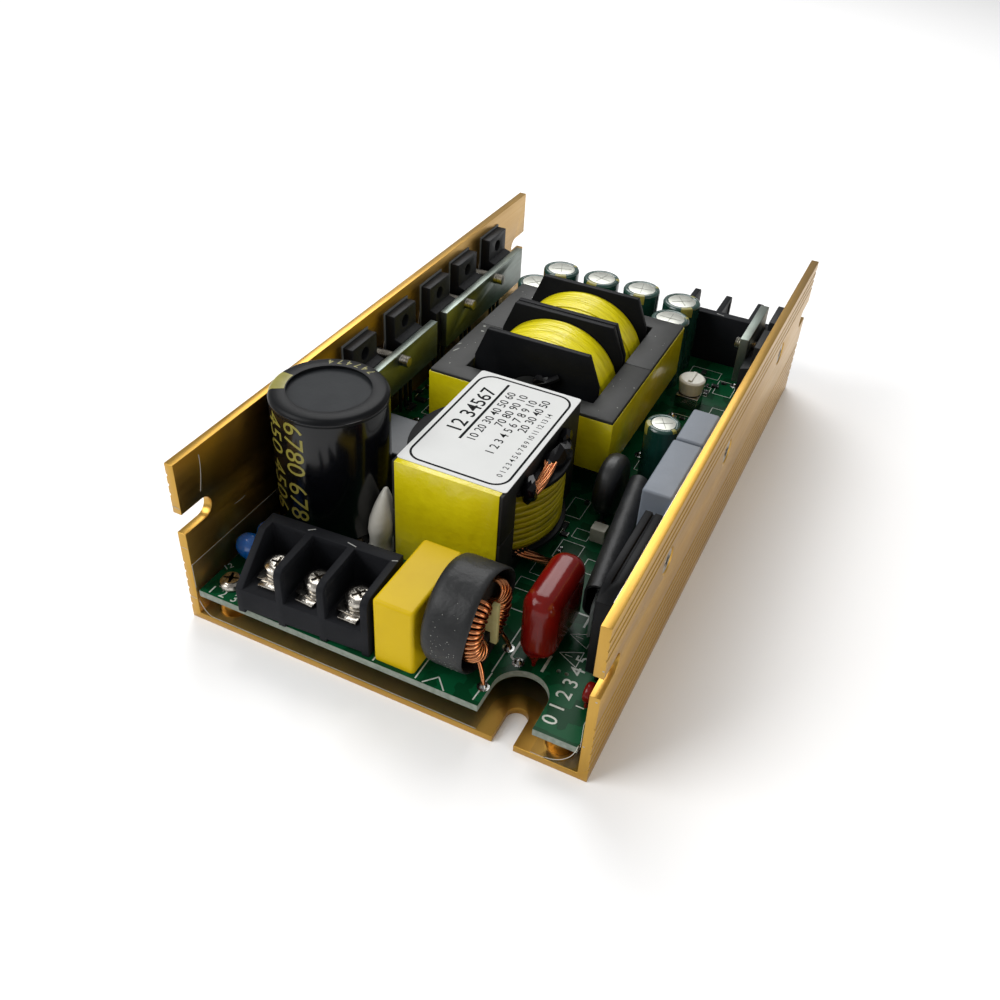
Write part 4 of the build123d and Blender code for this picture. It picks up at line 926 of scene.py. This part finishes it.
@dataclass(frozen=True)
class Housing:
    """Screws through the side walls, scratches inside the left one and bare spots at the front ends."""

    screws: tuple[WallScrew, ...] = (
        WallScrew(1, -45.3, 2.2), WallScrew(1, -4.2, 2.2), WallScrew(1, 45.3, 10.3),
        WallScrew(-1, -6.7, 9.8), WallScrew(-1, 27.8, 9.8), WallScrew(-1, 45.4, 9.8),
    )
    height: float = 28.2
    wall: float = 43.35
    core: float = 1.22
    crest: float = 1.4
    pitch: float = 0.5
    left_face: float = -42.97
    head: CrossHead = CrossHead(2.72, 1.45, edge=0.2, arm=1.5, arm_width=0.5, depth=0.8)

    def build(self) -> None:
        """Make the screws and the scratches."""
        form = Form()
        for screw in self.screws:
            facing = Facing.RIGHT if screw.side > 0 else Facing.LEFT
            place = at(screw.side * self.wall, screw.y, self.height) @ facing.value
            self.head.add(form, place)
            form.turned(self.thread(screw.length), place, 20)
        form.stand_for("clamp_screws", "wall_screws_shown", STEEL)
        self.scratches()

    def thread(self, length: float) -> list[Flat]:
        """Return the closed zigzag profile of a thread that runs down from its head."""
        profile = [(0.0, 0.1), (self.core, 0.1)]
        for turn in range(int(length / self.pitch)):
            profile.append((self.crest, -self.pitch * (turn + 0.5)))
            profile.append((self.core, -self.pitch * (turn + 1)))
        profile.append((0.0, profile[-1][1] - 0.1))
        return profile

    def scratches(self) -> None:
        """Make the scratches inside the left wall and the bare spots of the wall ends."""
        form = Form()
        long_scratch = [(-71.9, 38.2), (-71.7, 35.4), (-72.3, 32.6), (-73.0, 30.0)]
        short_scratch = [(-64.0, 20.6), (-62.0, 20.2), (-60.6, 20.5)]
        for path, radius in ((long_scratch, 0.07), (short_scratch, 0.04)):
            form.wire([(self.left_face, y, z) for y, z in path], radius)
        for z in (29.6, 19.3, 5.7):
            form.wire([(-44.9, FRONT_END, z), (-44.2, FRONT_END, z + 0.1), (-43.2, FRONT_END, z - 0.1)], 0.06)
        for x, z in ((44.7, 30.0), (44.4, 22.0), (43.4, 9.4)):
            form.ball((x, FRONT_END, z), (0.22, 0.05, 0.16), steps=10)
        form.piece("housing_scratches", FLASH, "housing")


@dataclass(frozen=True)
class FilmLining:
    """Painted highlights on the cut edges of the clear film, along the channel, behind the transistors and at
    its lifted corner.
    """

    height: float = 15.15
    inside: float = 42.82
    floor: float = 1.95
    line: float = 0.05
    transistors: tuple[float, ...] = (-16.5, 2.15, 19.9, 35.7, 54.1)

    def build(self) -> None:
        """Make the painted highlights of the edges, and the lifted corner."""
        form = Form()
        for side in (-1, 1):
            corner = (side * self.inside, FRONT_END, self.height)
            form.wire([corner, (side * self.inside, REAR_END, self.height)], self.line)
            form.wire([corner, (side * self.inside, FRONT_END, 9.0)], self.line)
        for start, end in ((-40.0, 22.0), (33.4, 36.4)):
            form.wire([(start, FRONT_END, self.floor), (end, FRONT_END, self.floor)], self.line)
        form.wire([(36.4, -78.9, 2.0), (39.6, -79.2, 2.7), (42.0, -79.2, 5.4), (42.4, -79.0, 9.0)], 0.07)
        form.wire([(-42.5, -79.0, 5.4), (-41.4, -79.3, 3.4), (-40.0, -79.0, self.floor)], 0.07)
        wall = -self.inside - 0.06
        for middle in self.transistors:
            near, far = middle - 6.6, middle + 6.6
            path = [(wall, near, 24.0), (wall, near, 38.7), (wall, far, 38.9), (wall, far, 24.0)]
            form.wire(path, 0.06, steps=2)
        # The pale lines are painted highlights: glints on the cut edges of the film
        form.piece("film_edge_glints", FILM_EDGE_GLINT, "insulating_film")
        curl = Form()
        outline = [(36.4, 1.95), (39.6, 2.75), (41.8, 5.3), (42.6, 9.0), (42.6, 3.2), (41.5, 2.0)]
        curl.prism(outline, 0.08, at(0, -79.05, 0) @ Facing.FRONT.value)
        curl.piece("film_curl", FILM, "insulating_film")


@dataclass(frozen=True)
class Choke:
    """Upright ring choke: its copper turns in two halves, their leads and the sleeve round the ring."""

    centre: Point = (14.8, -68.1, 19.5)
    inner: float = 4.4
    outer: float = 8.0
    half_width: float = 3.0
    wire: float = 0.44
    turns: int = 17
    spread: float = 134.0
    lean: float = 5.0
    cover: float = 10.93
    seed: int = 7
    specks: int = 60

    def build(self) -> None:
        """Make the turns, the leads, the sleeve and its dust."""
        form = Form()
        for middle in (-90.0, 90.0):
            for number in range(self.turns):
                angle = middle + self.spread * (number / (self.turns - 1) - 0.5)
                form.wire(self.turn(angle, 0.16 * (number % 2)), self.wire, closed=True, resolution=3)
        x, _, z = self.centre
        for lead_y, pad_y in ((-72.6, -74.1), (-63.6, -62.8)):
            form.wire([
                (x + 3.6, lead_y, z - 5.6), (x + 4.9, lead_y, z - 7.4), (x + 5.9, pad_y, 10.6),
                (x + 6.1, pad_y, BOARD_TOP),
            ], 0.5)
        form.stand_for("choke_windings", "choke_turns", COPPER, angle=60)
        self.sleeve()
        self.dust()

    def sleeve(self) -> None:
        """Make the sleeve, open to the right, with an uneven cut edge."""
        form = Form()
        profile = [
            (6.2, -5.0), (6.2, -5.75), (8.6, -5.75), (10.0, -5.3), (10.75, -4.4), (self.cover, -3.2),
            (self.cover, -1.0), (self.cover, 1.2), (10.9, 2.5), (10.6, 2.75), (10.3, 2.5), (10.2, 1.2),
            (10.2, -3.0), (9.6, -4.5), (8.4, -5.0), (6.2, -5.0),
        ]
        form.turned(profile, at(*self.centre) @ Facing.RIGHT.value, 96)
        x, y, z = self.centre
        for vert in form.shape.verts:
            if vert.co.x > x:
                way = atan2(vert.co.z - z, vert.co.y - y)
                vert.co.x += 0.45 * sin(way + 0.5) + 0.25 * sin(3 * way) + 1.15
        form.stand_for("choke_sleeve", "choke_cover", SHRINK, angle=60)

    def dust(self) -> None:
        """Make the pale dust that sticks to the front of the sleeve."""
        form = Form()
        chance = random.Random(self.seed)
        x, y, z = self.centre
        for _ in range(self.specks):
            way = radians(chance.gauss(188, 24))
            size = chance.uniform(0.04, 0.11)
            spot = (x + chance.uniform(-3.0, 2.2), y + self.cover * cos(way), z + self.cover * sin(way))
            form.ball(spot, (size, size, size), steps=6)
        form.piece("choke_dust", DUST, "choke_sleeve")

    def turn(self, angle: float, lift: float) -> list[Point]:
        """Return the path of one turn round the ring's section.

        Args:
            angle: Place of the turn round the ring, in degrees.
            lift: How far the turn stands off its neighbours.

        Returns:
            Eight points, which the turn leans through.
        """
        x, y, z = self.centre
        low = self.inner - self.wire - lift
        high = self.outer + self.wire
        middle = (low + high) / 2
        half = self.half_width + self.wire + 0.25 + lift
        corners = [
            (-half, low, 0.0), (-half, middle, 0.3), (-half, high, 0.5), (0.0, high + 0.15, 0.8),
            (half + 0.8, high - 0.2, 1.0), (half + 1.5, middle, 1.2), (half + 0.6, low, 1.5),
            (0.0, low - 0.1, 1.0),
        ]
        path = []
        for across, reach, share in corners:
            way = radians(angle + self.lean * (share - 0.75))
            path.append((x + across, y + reach * sin(way), z + reach * cos(way)))
        return path


@dataclass(frozen=True)
class Inductor:
    """Taped inductor: its label, the turns under its tape and the wires at its right side."""

    centre: Flat = (-0.55, -29.95)
    top: float = 34.0
    radius: float = 16.9
    bottom: float = 13.5
    height: float = 15.3
    tube: float = 0.95
    pitch: float = 1.55
    strand_count: int = 11
    strand: float = 0.3

    def build(self) -> None:
        """Make the label, the winding and the loose wires."""
        self.label()
        self.winding()
        self.strands()
        self.tubes()

    def label(self) -> None:
        """Make the paper label with its frame, its rule and plain figures."""
        paper = Form()
        paper.prism(rounded((-12.75, -48.75), (12.05, -9.75), 0.7), 0.12, at(0, 0, self.top + 0.02))
        paper.piece("label_paper", PAPER, "inductor_tape")
        ink = Form()
        level = self.top + 0.14
        ink.outline(rounded((-11.5, -47.5), (10.8, -11.0), 3.4, 8), level, 0.5, closed=True)
        ink.bar((-4.6, -36.6, level), (-4.6, -12.6, level), 0.6, LINE_THICKNESS)
        rows = [
            ("12 34567", 3.5, -5.7, -35.0, 0.045),
            ("10 20 30 40 50 60", 2.0, -1.5, -36.2, 0.02),
            ("70 80 90 10", 2.0, 1.3, -28.6, 0.02),
            ("1 2 3 4 5 6 7 8 9 10", 2.0, 4.0, -38.6, 0.02),
            ("20 30 40 50", 2.0, 6.6, -28.2, 0.02),
            ("0 1 2 3 4 5 6 7 8 9 10 11 12 13 14", 1.3, 9.0, -44.6, 0.01),
        ]
        for text, height, x, y, weight in rows:
            ink.figures(text, height, at(x, y, level, 90), weight=weight)
        ink.piece("label_print", PRINT, "inductor_tape")

    def winding(self) -> None:
        """Make the taped turns that bulge out between the flanges."""
        form = Form()
        x, y = self.centre
        reach = self.radius - self.tube
        low = self.bottom + self.tube
        high = self.bottom + self.height - self.tube
        level = low
        while level <= high + 0.01:
            path = []
            for step in range(48):
                angle = 2 * pi * step / 48
                rise = level + 0.9 * sin(angle - 0.9)
                path.append((x + reach * cos(angle), y + reach * sin(angle), min(high, max(low, rise))))
            form.wire(path, self.tube, closed=True, resolution=2)
            level += self.pitch
        core = reach + 0.62 * self.tube
        form.rod((x, y, self.bottom + 0.1), (x, y, self.bottom + self.height - 0.1), core, steps=96)
        # The tape over the turns is a darker copy of the yellow tape: painted shade
        form.stand_for("inductor_winding", "inductor_turns", SHADED_TURN_TAPE, angle=60)

    def strands(self) -> None:
        """Make the twisted copper strands that leave the winding."""
        form = Form()
        bundles = [
            ([(13.8, -39.6, 28.9), (14.9, -37.4, 29.8), (14.9, -34.6, 30.8), (14.2, -31.6, 31.6)], 1.4),
            ([(12.8, -40.6, 13.4), (14.8, -40.2, 12.4), (17.2, -38.6, 11.4), (18.8, -36.8, 9.2)], 1.6),
        ]
        for path, radius in bundles:
            for number in range(self.strand_count):
                start = 2 * pi * number / self.strand_count
                reach = radius * (0.45 if number % 3 == 0 else 0.85)
                wound = [
                    (x + reach * cos(start + 0.7 * step), y + reach * sin(start + 0.7 * step), z)
                    for step, (x, y, z) in enumerate(path)
                ]
                form.wire(wound, self.strand, steps=2)
        form.piece("inductor_strands", COPPER, "choke_windings", angle=60)

    def tubes(self) -> None:
        """Make the pressed black tubes over the joints of the strands."""
        form = Form()
        form.crumple((13.7, -40.4, 30.0), (2.0, 3.4, 3.9), 3, 0.3, 20)
        form.crumple((14.6, -28.0, 30.9), (2.5, 6.2, 3.2), 8, 0.3, -8)
        form.crumple((13.2, -20.8, 31.2), (1.6, 3.4, 2.1), 11, 0.3, 12)
        form.piece("inductor_tubes", CRUMPLED, "choke_sleeve", angle=12)


@dataclass(frozen=True)
class Band:
    """One visible band of tape round the transformer's winding."""

    front: float
    width: float
    lift: float
    skew: float


@dataclass(frozen=True)
class Transformer:
    """Transformer: the tape bands of its windings, its tubes and the specks of flux on its core."""

    centre: Flat = (-3.95, 22.85)
    radii: Flat = (15.9, 14.35)
    core_top: float = 29.52
    tape: float = 0.07
    seed: int = 4
    speck_count: int = 26
    bands: tuple[Band, ...] = (
        Band(2.5, 4.6, 0.1, 0.5), Band(6.0, 5.4, 0.25, -0.7), Band(10.4, 5.4, 0.12, 0.6),
        Band(20.0, 5.6, 0.15, 0.9), Band(24.0, 6.4, 0.4, -1.8), Band(28.4, 5.0, 0.2, 1.0),
    )

    def build(self) -> None:
        """Make the bands, the tubes and the specks."""
        form = Form()
        for band in self.bands:
            self.band(form, band)
        form.piece("winding_bands", WOUND_TAPE, "transformer_windings", angle=50)
        self.tubes()
        self.specks()

    def band(self, form: Form, band: Band) -> None:
        """Add one slightly skewed band of tape."""
        part = bmesh.new()
        bmesh.ops.create_circle(part, cap_ends=False, segments=72, radius=1)
        bmesh.ops.transform(part, matrix=Facing.FRONT.value, verts=part.verts)
        size = (self.radii[0] + band.lift, 1, self.radii[1] + band.lift)
        bmesh.ops.scale(part, vec=size, verts=part.verts)
        far = new_verts(bmesh.ops.extrude_edge_only(part, edges=part.edges[:]))
        bmesh.ops.translate(part, verts=far, vec=(0, band.width, 0))
        for vert in part.verts:
            vert.co.y += band.skew * sin(atan2(vert.co.z, vert.co.x) + band.front)
        bmesh.ops.solidify(part, geom=part.faces[:], thickness=self.tape)
        bmesh.ops.recalc_face_normals(part, faces=part.faces)
        form.join(part, at(self.centre[0], band.front, self.centre[1]))

    def tubes(self) -> None:
        """Make the pressed tubes and the sleeved wires before the first flange."""
        form = Form()
        form.crumple((-1.6, -0.9, 30.0), (3.0, 1.3, 1.6), 21, 0.36, 10)
        form.crumple((-3.8, -1.0, 27.6), (3.4, 1.4, 1.5), 22, 0.36, -6)
        form.wire([(-6.6, 0.2, 27.0), (-4.0, -1.2, 28.6), (-0.4, -1.6, 29.6), (2.4, 0.4, 31.4)], 0.9)
        form.wire([(-7.4, 0.2, 25.6), (-4.4, -1.4, 26.2), (-1.0, -1.6, 27.0), (2.0, 0.2, 26.0)], 0.8)
        form.piece("transformer_tubes", CRUMPLED, "choke_sleeve", angle=20)

    def specks(self) -> None:
        """Make the specks of dried flux and dust on the core."""
        form = Form()
        chance = random.Random(self.seed)
        spots = [
            (-20.5, 38.1, 1.2, 0.8, 30), (-25.3, 16.8, 0.4, 0.35, 0), (-24.6, 14.2, 0.5, 0.3, 0),
            (-26.0, 2.6, 1.2, 0.2, 70), (-26.6, 5.6, 0.7, 0.16, 60), (3.4, 41.8, 1.4, 0.4, 10),
        ]
        for _ in range(self.speck_count):
            size = chance.uniform(0.06, 0.16)
            side = chance.choice((chance.uniform(-26, -20), chance.uniform(13, 19)))
            along = chance.uniform(-6, 42)
            spots.append((side, along, size, size * chance.uniform(0.6, 2.5), chance.uniform(0, 90)))
        for x, y, length, width, turn in spots:
            form.ball((0, 0, 0), (length, width, 0.06), at(x, y, self.core_top, turn), 10)
        form.piece("flux_specks", DUST, "silicone_glue")


@dataclass(frozen=True)
class BulkCapacitor:
    """Big capacitor: plain figures down its sleeve, the shrunk collar and the marks at its rim."""

    centre: Flat = (-30.1, -45.8)
    radius: float = 12.5
    top: float = 43.3
    disc: float = 8.8

    def build(self) -> None:
        """Make the figures, the collar and the rim marks."""
        self.figures()
        self.collar()
        self.marks()

    def figures(self) -> None:
        """Make the figures that run down the side."""
        form = Form()
        for along, text in ((0.0, "450 4506"), (5.6, "6780 678")):
            form.figures(text, 4.6, at(1.6, along, 0.02))
        form.bend(self.centre, self.radius, -129.0, self.top)
        form.piece("sleeve_figures", OLIVE, "bulk_capacitor_sleeve")

    def collar(self) -> None:
        """Make the part of the sleeve that shrank over the rim."""
        outer = self.radius
        inner = self.disc
        section = [
            (inner, -0.3), (inner, -0.04), (inner + 0.15, 0.01), (outer - 1.05, 0.01), (outer - 0.5, -0.28),
            (outer - 0.12, -0.75), (outer + 0.01, -1.3), (outer + 0.01, -1.7), (outer - 0.2, -1.7),
            (outer - 1.3, -0.3), (inner, -0.3),
        ]
        form = Form()
        form.turned(section, at(*self.centre, self.top), 96)
        form.piece("sleeve_collar", COLLAR, "bulk_capacitor_sleeve")

    def marks(self) -> None:
        """Make the stripe over the rim and the figures along it."""
        outer = self.radius
        rim = [
            (self.disc + 0.2, 0.025), (outer - 1.05, 0.025), (outer - 0.48, -0.26), (outer - 0.1, -0.74),
            (outer + 0.03, -1.3), (outer + 0.03, -3.4),
        ]
        form = Form()
        form.turned(rim, at(*self.centre, self.top, 178), 16, 34, 0.01)
        reach = outer - 1.4
        for number, figure in enumerate("474747"):
            angle = 118.0 - 11.0 * number
            way = radians(angle)
            spot = (self.centre[0] + reach * cos(way), self.centre[1] + reach * sin(way), self.top + 0.03)
            form.figures(figure, 1.6, at(*spot, angle + 90))
        form.piece("rim_marks", OLIVE, "bulk_capacitor_sleeve")


@dataclass(frozen=True)
class CanTop:
    """Top of a small can capacitor: its pressed disc, the painted shade of its cross score and its printed
    stripe.
    """

    centre: Flat
    radius: float
    top: float
    turn: float

    def build(self, discs: Form, score_shades: Form, stripes: Form) -> None:
        """Add the top to three forms."""
        flat = self.radius - 1.15
        place = at(*self.centre, self.top, self.turn)
        low = place @ at(0, 0, -0.28)
        disc = [(0, -0.1), (flat + 0.1, -0.1), (flat + 0.1, 0), (flat - 0.25, 0.14), (0, 0.1)]
        discs.turned(disc, low, 40)
        # The cross is painted shade: darker strips on the disc stand for the shade in the pressed grooves
        arm = flat * 0.72
        score_shades.box((-arm, -0.09, 0.1), (arm, 0.09, 0.17), low)
        score_shades.box((-0.09, -arm, 0.1), (0.09, arm, 0.17), low)
        r = self.radius
        rim = [(r - 1.3, -0.02), (r - 0.6, 0.03), (r - 0.18, -0.16), (r + 0.03, -0.62), (r + 0.03, -2.6)]
        stripes.turned(rim, place @ at(0, 0, 0, -110), 12, 38, 0.02)
        stripes.turned(rim[:4], place @ at(0, 0, 0, 20), 6, 16, 0.02)


# Places and turns of the six rear cans, which are of one size; the small can stands alone
REAR_CANS = (
    (-23.2, 62.7, 20), (-10.9, 63.2, -15), (1.4, 63.0, 10), (13.7, 61.6, 35), (14.0, 50.4, 0),
    (-26.0, 51.0, 50),
)
CAN_TOPS = (
    *(CanTop((x, y), 5.15, 27.5, turn) for x, y, turn in REAR_CANS),
    CanTop((28.3, 3.0), 4.15, 26.0, -60),
)


def build_can_tops() -> None:
    """Add the tops of the small can capacitors."""
    discs = Form()
    score_shades = Form()
    stripes = Form()
    for can in CAN_TOPS:
        can.build(discs, score_shades, stripes)
    discs.piece("can_tops", CAN, "bulk_capacitor")
    score_shades.piece("can_score_shades", SCORE_SHADE, "bulk_capacitor")
    stripes.piece("can_stripes", OLIVE, "small_capacitor")


@dataclass(frozen=True)
class Drops:
    """Dipped capacitors and glue at the front left: blue drops with leads, and a white bead."""

    spots: tuple[Point, ...] = ((-38.4, -65.9, 11.8), (-36.9, -60.8, 12.0))
    turn: float = 8.0
    lead: float = 0.3

    def build(self) -> None:
        """Make the drops, their leads and the glue."""
        drops = Form()
        leads = Form()
        for x, y, z in self.spots:
            self.drop(drops, at(x, y, z, self.turn))
            for side in (-1, 1):
                path = [(x + side * 1.6, y, z - 3.4), (x + side * 2.2, y, z - 4.2), (x + side * 2.3, y, 8.0)]
                leads.wire(path, self.lead)
        drops.stand_for("y_capacitors", "blue_drops", BLUE_DIP, angle=60)
        leads.piece("drop_leads", SOLDER, "board_screws")
        self.glue()

    def drop(self, form: Form, place: Matrix) -> None:
        """Add one drop, drawn in below its middle to its two leads."""
        part = bmesh.new()
        bmesh.ops.create_uvsphere(part, u_segments=28, v_segments=18, radius=1)
        for vert in part.verts:
            low = max(0.0, -vert.co.z)
            narrow = 1 - 0.52 * low ** 1.6
            vert.co = (vert.co.x * 3.5 * narrow, vert.co.y * 2.5 * narrow, vert.co.z * (4.3 if low else 3.6))
        form.join(part, place)

    def glue(self) -> None:
        """Make the bead of glue beside the big capacitor."""
        form = Form()
        profile = [
            (0.0, 0.0), (3.6, 0.0), (3.3, 0.5), (2.5, 1.8), (2.6, 3.6), (3.1, 6.0), (3.0, 8.6), (2.3, 11.6),
            (1.4, 14.4), (0.6, 16.4), (0.0, 17.0),
        ]
        lean = Matrix.Rotation(0.1, 4, "Y") @ Matrix.Diagonal((0.95, 1.3, 1.0, 1.0))
        form.turned(profile, at(-17.0, -49.0, 8.4, 12) @ lean, 40)
        runs = [
            ([(-16.4, -50.0, 10.6), (-17.4, -50.8, 9.4), (-19.2, -51.2, 8.8), (-21.0, -51.2, 8.6)], 0.6),
            ([(-15.6, -50.2, 10.2), (-15.8, -51.8, 9.0), (-16.6, -53.0, 8.6)], 0.5),
        ]
        for path, radius in runs:
            form.wire(path, radius)
        form.stand_for("silicone_glue", "glue_blob", GLUE, angle=60)


@dataclass(frozen=True)
class FilmCapacitor:
    """Red film capacitor: the drips of epoxy that run down its leads."""

    drips: tuple[Flat, ...] = ((27.05, -64.4), (27.05, -49.6))
    bottom: float = 9.2

    def build(self) -> None:
        """Make the drips."""
        form = Form()
        drip = [(0, 0), (0.55, 0), (0.8, 0.9), (1.6, 2.3), (2.4, 3.6), (0, 3.7)]
        for x, y in self.drips:
            form.turned(drip, at(x, y, self.bottom), 24)
        form.piece("epoxy_drips", RED_DIP, "film_capacitor", angle=60)


@dataclass(frozen=True)
class BoardScrews:
    """Pan-head screws that hold the board's left edge."""

    spots: tuple[Flat, ...] = ((-37.6, -74.1), (-37.6, 74.1))
    shank: float = 1.4
    depth: float = 4.9
    head: CrossHead = CrossHead(2.7, 1.9, edge=1.2, arm=1.5, arm_width=0.5, depth=0.7)

    def build(self) -> None:
        """Make the screws."""
        form = Form()
        for x, y in self.spots:
            self.head.add(form, at(x, y, BOARD_TOP, 20))
            form.rod((x, y, BOARD_TOP - self.depth), (x, y, BOARD_TOP + 0.1), self.shank)
        form.stand_for("board_screws", "board_screws_shown", NICKEL)


@dataclass(frozen=True)
class Studio:
    """Pale floor, even surroundings and three soft lamps, with sizes in metres."""

    floor_size: float = 6.0
    floor_gap: float = 0.00002
    surroundings: float = 0.38
    top_watts: float = 3.6
    front_watts: float = 3.6
    right_watts: float = 1.6
    target: Point = (0.0, 0.0, 0.02)

    def build(self) -> None:
        """Make the world, the lamps and the floor."""
        world = bpy.data.worlds.new("studio")
        bpy.context.scene.world = world
        tree = empty_tree(world)
        rays = add_node(tree, "LightPath")
        seen = add_node(tree, "Math", {
            0: rays.outputs["Is Camera Ray"],
            1: rays.outputs["Is Transmission Ray"],
        }, operation="MAXIMUM")
        limits = {"To Min": self.surroundings, "To Max": 1.0}
        strength = add_node(tree, "MapRange", {"Value": seen.outputs[0], **limits})
        sky = add_node(tree, "Background", {"Color": (1, 1, 1, 1), "Strength": strength.outputs[0]})
        add_node(tree, "OutputWorld", {"Surface": sky.outputs[0]})
        self.lamp("top", (-0.22, 0.42, 0.6), self.top_watts, 0.5)
        self.lamp("front", (-0.42, -0.4, 0.5), self.front_watts, 0.45)
        self.lamp("right", (0.7, -0.25, 0.16), self.right_watts, 0.4)
        self.floor()

    def lamp(self, name: str, place: Point, watts: float, size: float) -> None:
        """Add a square soft lamp that looks at the object."""
        light = bpy.data.lights.new(name, "AREA")
        light.energy = watts
        light.size = size
        lamp = put(name, light)
        aim = (Vector(self.target) - Vector(place)).to_track_quat("-Z", "Y")
        lamp.matrix_world = Matrix.Translation(Vector(place)) @ aim.to_matrix().to_4x4()

    def floor(self) -> None:
        """Add the floor, which shows white where nothing shades it."""
        shape = bmesh.new()
        bmesh.ops.create_grid(shape, x_segments=1, y_segments=1, size=self.floor_size / 2)
        bmesh.ops.translate(shape, verts=shape.verts, vec=(0, 0, -self.floor_gap))
        mesh = mesh_of("floor", shape)
        mesh.materials.append(FLOOR.material())
        put("floor", mesh)


@dataclass(frozen=True)
class Photograph:
    """Camera of the photograph: its place in millimetres, two of its directions and its lens."""

    place: Point = (72.54, -189.4, 153.5)
    right: Point = (0.8985, 0.4361, 0.0501)
    ahead: Point = (-0.3126, 0.7158, -0.6244)
    lens: float = 35.91
    sensor: float = 36.0
    shift: Flat = (-0.001, 0.0055)
    nearest: float = 0.01

    def build(self) -> None:
        """Set the scene's camera."""
        camera = bpy.data.cameras.new("camera")
        camera.lens = self.lens
        camera.sensor_width = self.sensor
        camera.shift_x, camera.shift_y = self.shift
        camera.clip_start = self.nearest
        holder = put("camera", camera)
        back = -Vector(self.ahead).normalized()
        side = Vector(self.right).normalized()
        turn = Matrix((side, back.cross(side), back)).transposed()
        holder.matrix_world = Matrix.Translation(Vector(self.place) * MM) @ turn.to_4x4()
        bpy.context.scene.camera = holder


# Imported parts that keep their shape, by finish and width of their rounded edges
SOFTENED: tuple[tuple[Finish, float, tuple[str, ...]], ...] = (
    (GOLD, 0.15, ("housing",)),
    (FILM, 0.0, ("insulating_film",)),
    (MASK, 0.0, ("circuit_board",)),
    (BRASS, 0.15, ("board_standoffs",)),
    (NYLON, 0.12, ("input_terminal_block", "output_terminal_block")),
    (YELLOW_CASE, 0.0, ("x_capacitor",)),
    (FERRITE, 0.1, ("choke_core",)),
    (FIBRE, 0.1, ("choke_divider",)),
    (RED_DIP, 0.0, ("film_capacitor", "red_capacitor")),
    (BLACK_DIP, 0.0, ("thermistor",)),
    (PALE, 0.1, ("box_capacitor",)),
    (SHRINK, 0.0, ("fuse_sleeve",)),
    (GLASS, 0.0, ("fuse",)),
    (PHENOLIC, 0.15, ("bridge_rectifier", "inductor_bobbin", "transformer_bobbin")),
    (SPREADER, 0.1, ("heat_spreader",)),
    (RUBBER, 0.3, ("device_caps",)),
    (EPOXY, 0.1, ("power_devices",)),
    (VENT, 0.0, ("bulk_capacitor",)),
    (SLEEVE, 0.2, ("bulk_capacitor_sleeve",)),
    (RELAY, 0.0, ("relay",)),
    (FERRITE, 0.2, ("inductor_core_lower", "inductor_core_upper")),
    (TAPE, 0.1, ("inductor_tape", "transformer_tape")),
    (FERRITE, 0.25, ("transformer_core_front", "transformer_core_rear")),
    (WOUND_TAPE, 0.5, ("transformer_windings",)),
    (PAD, 0.05, ("insulating_pads",)),
    (MILL, 0.12, ("clamp_bar_front", "clamp_bar_rear", "clamp_bar_right")),
    (GREEN_SLEEVE, 0.0, ("small_capacitor", *(f"rear_capacitor_{number}" for number in range(1, 7)))),
    (NICKEL, 0.15, ("trimmer_base",)),
    (EPOXY, 0.15, ("rectifier_1", "rectifier_2", *(f"transistor_{number}" for number in range(1, 6)))),
)

PARTS = (
    Housing(), FilmLining(), Printing(), BoardEdge(), SmallParts(), Choke(), Inductor(), Transformer(),
    BulkCapacitor(), Drops(), FilmCapacitor(), BoardScrews(), Studio(), Photograph(),
)


def main() -> None:
    """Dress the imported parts, add the modelled pieces and set up the studio."""
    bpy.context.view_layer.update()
    for finish, bevel, nodes in SOFTENED:
        for node in nodes:
            soften(node, finish, bevel)
    soften("trimmer_knob", KNOB, 0.5, 4, body=TRIMMER)
    build_terminals()
    build_can_tops()
    for part in PARTS:
        part.build()
    bpy.context.scene.view_settings.view_transform = "Standard"


if __name__ == "__main__":
    main()
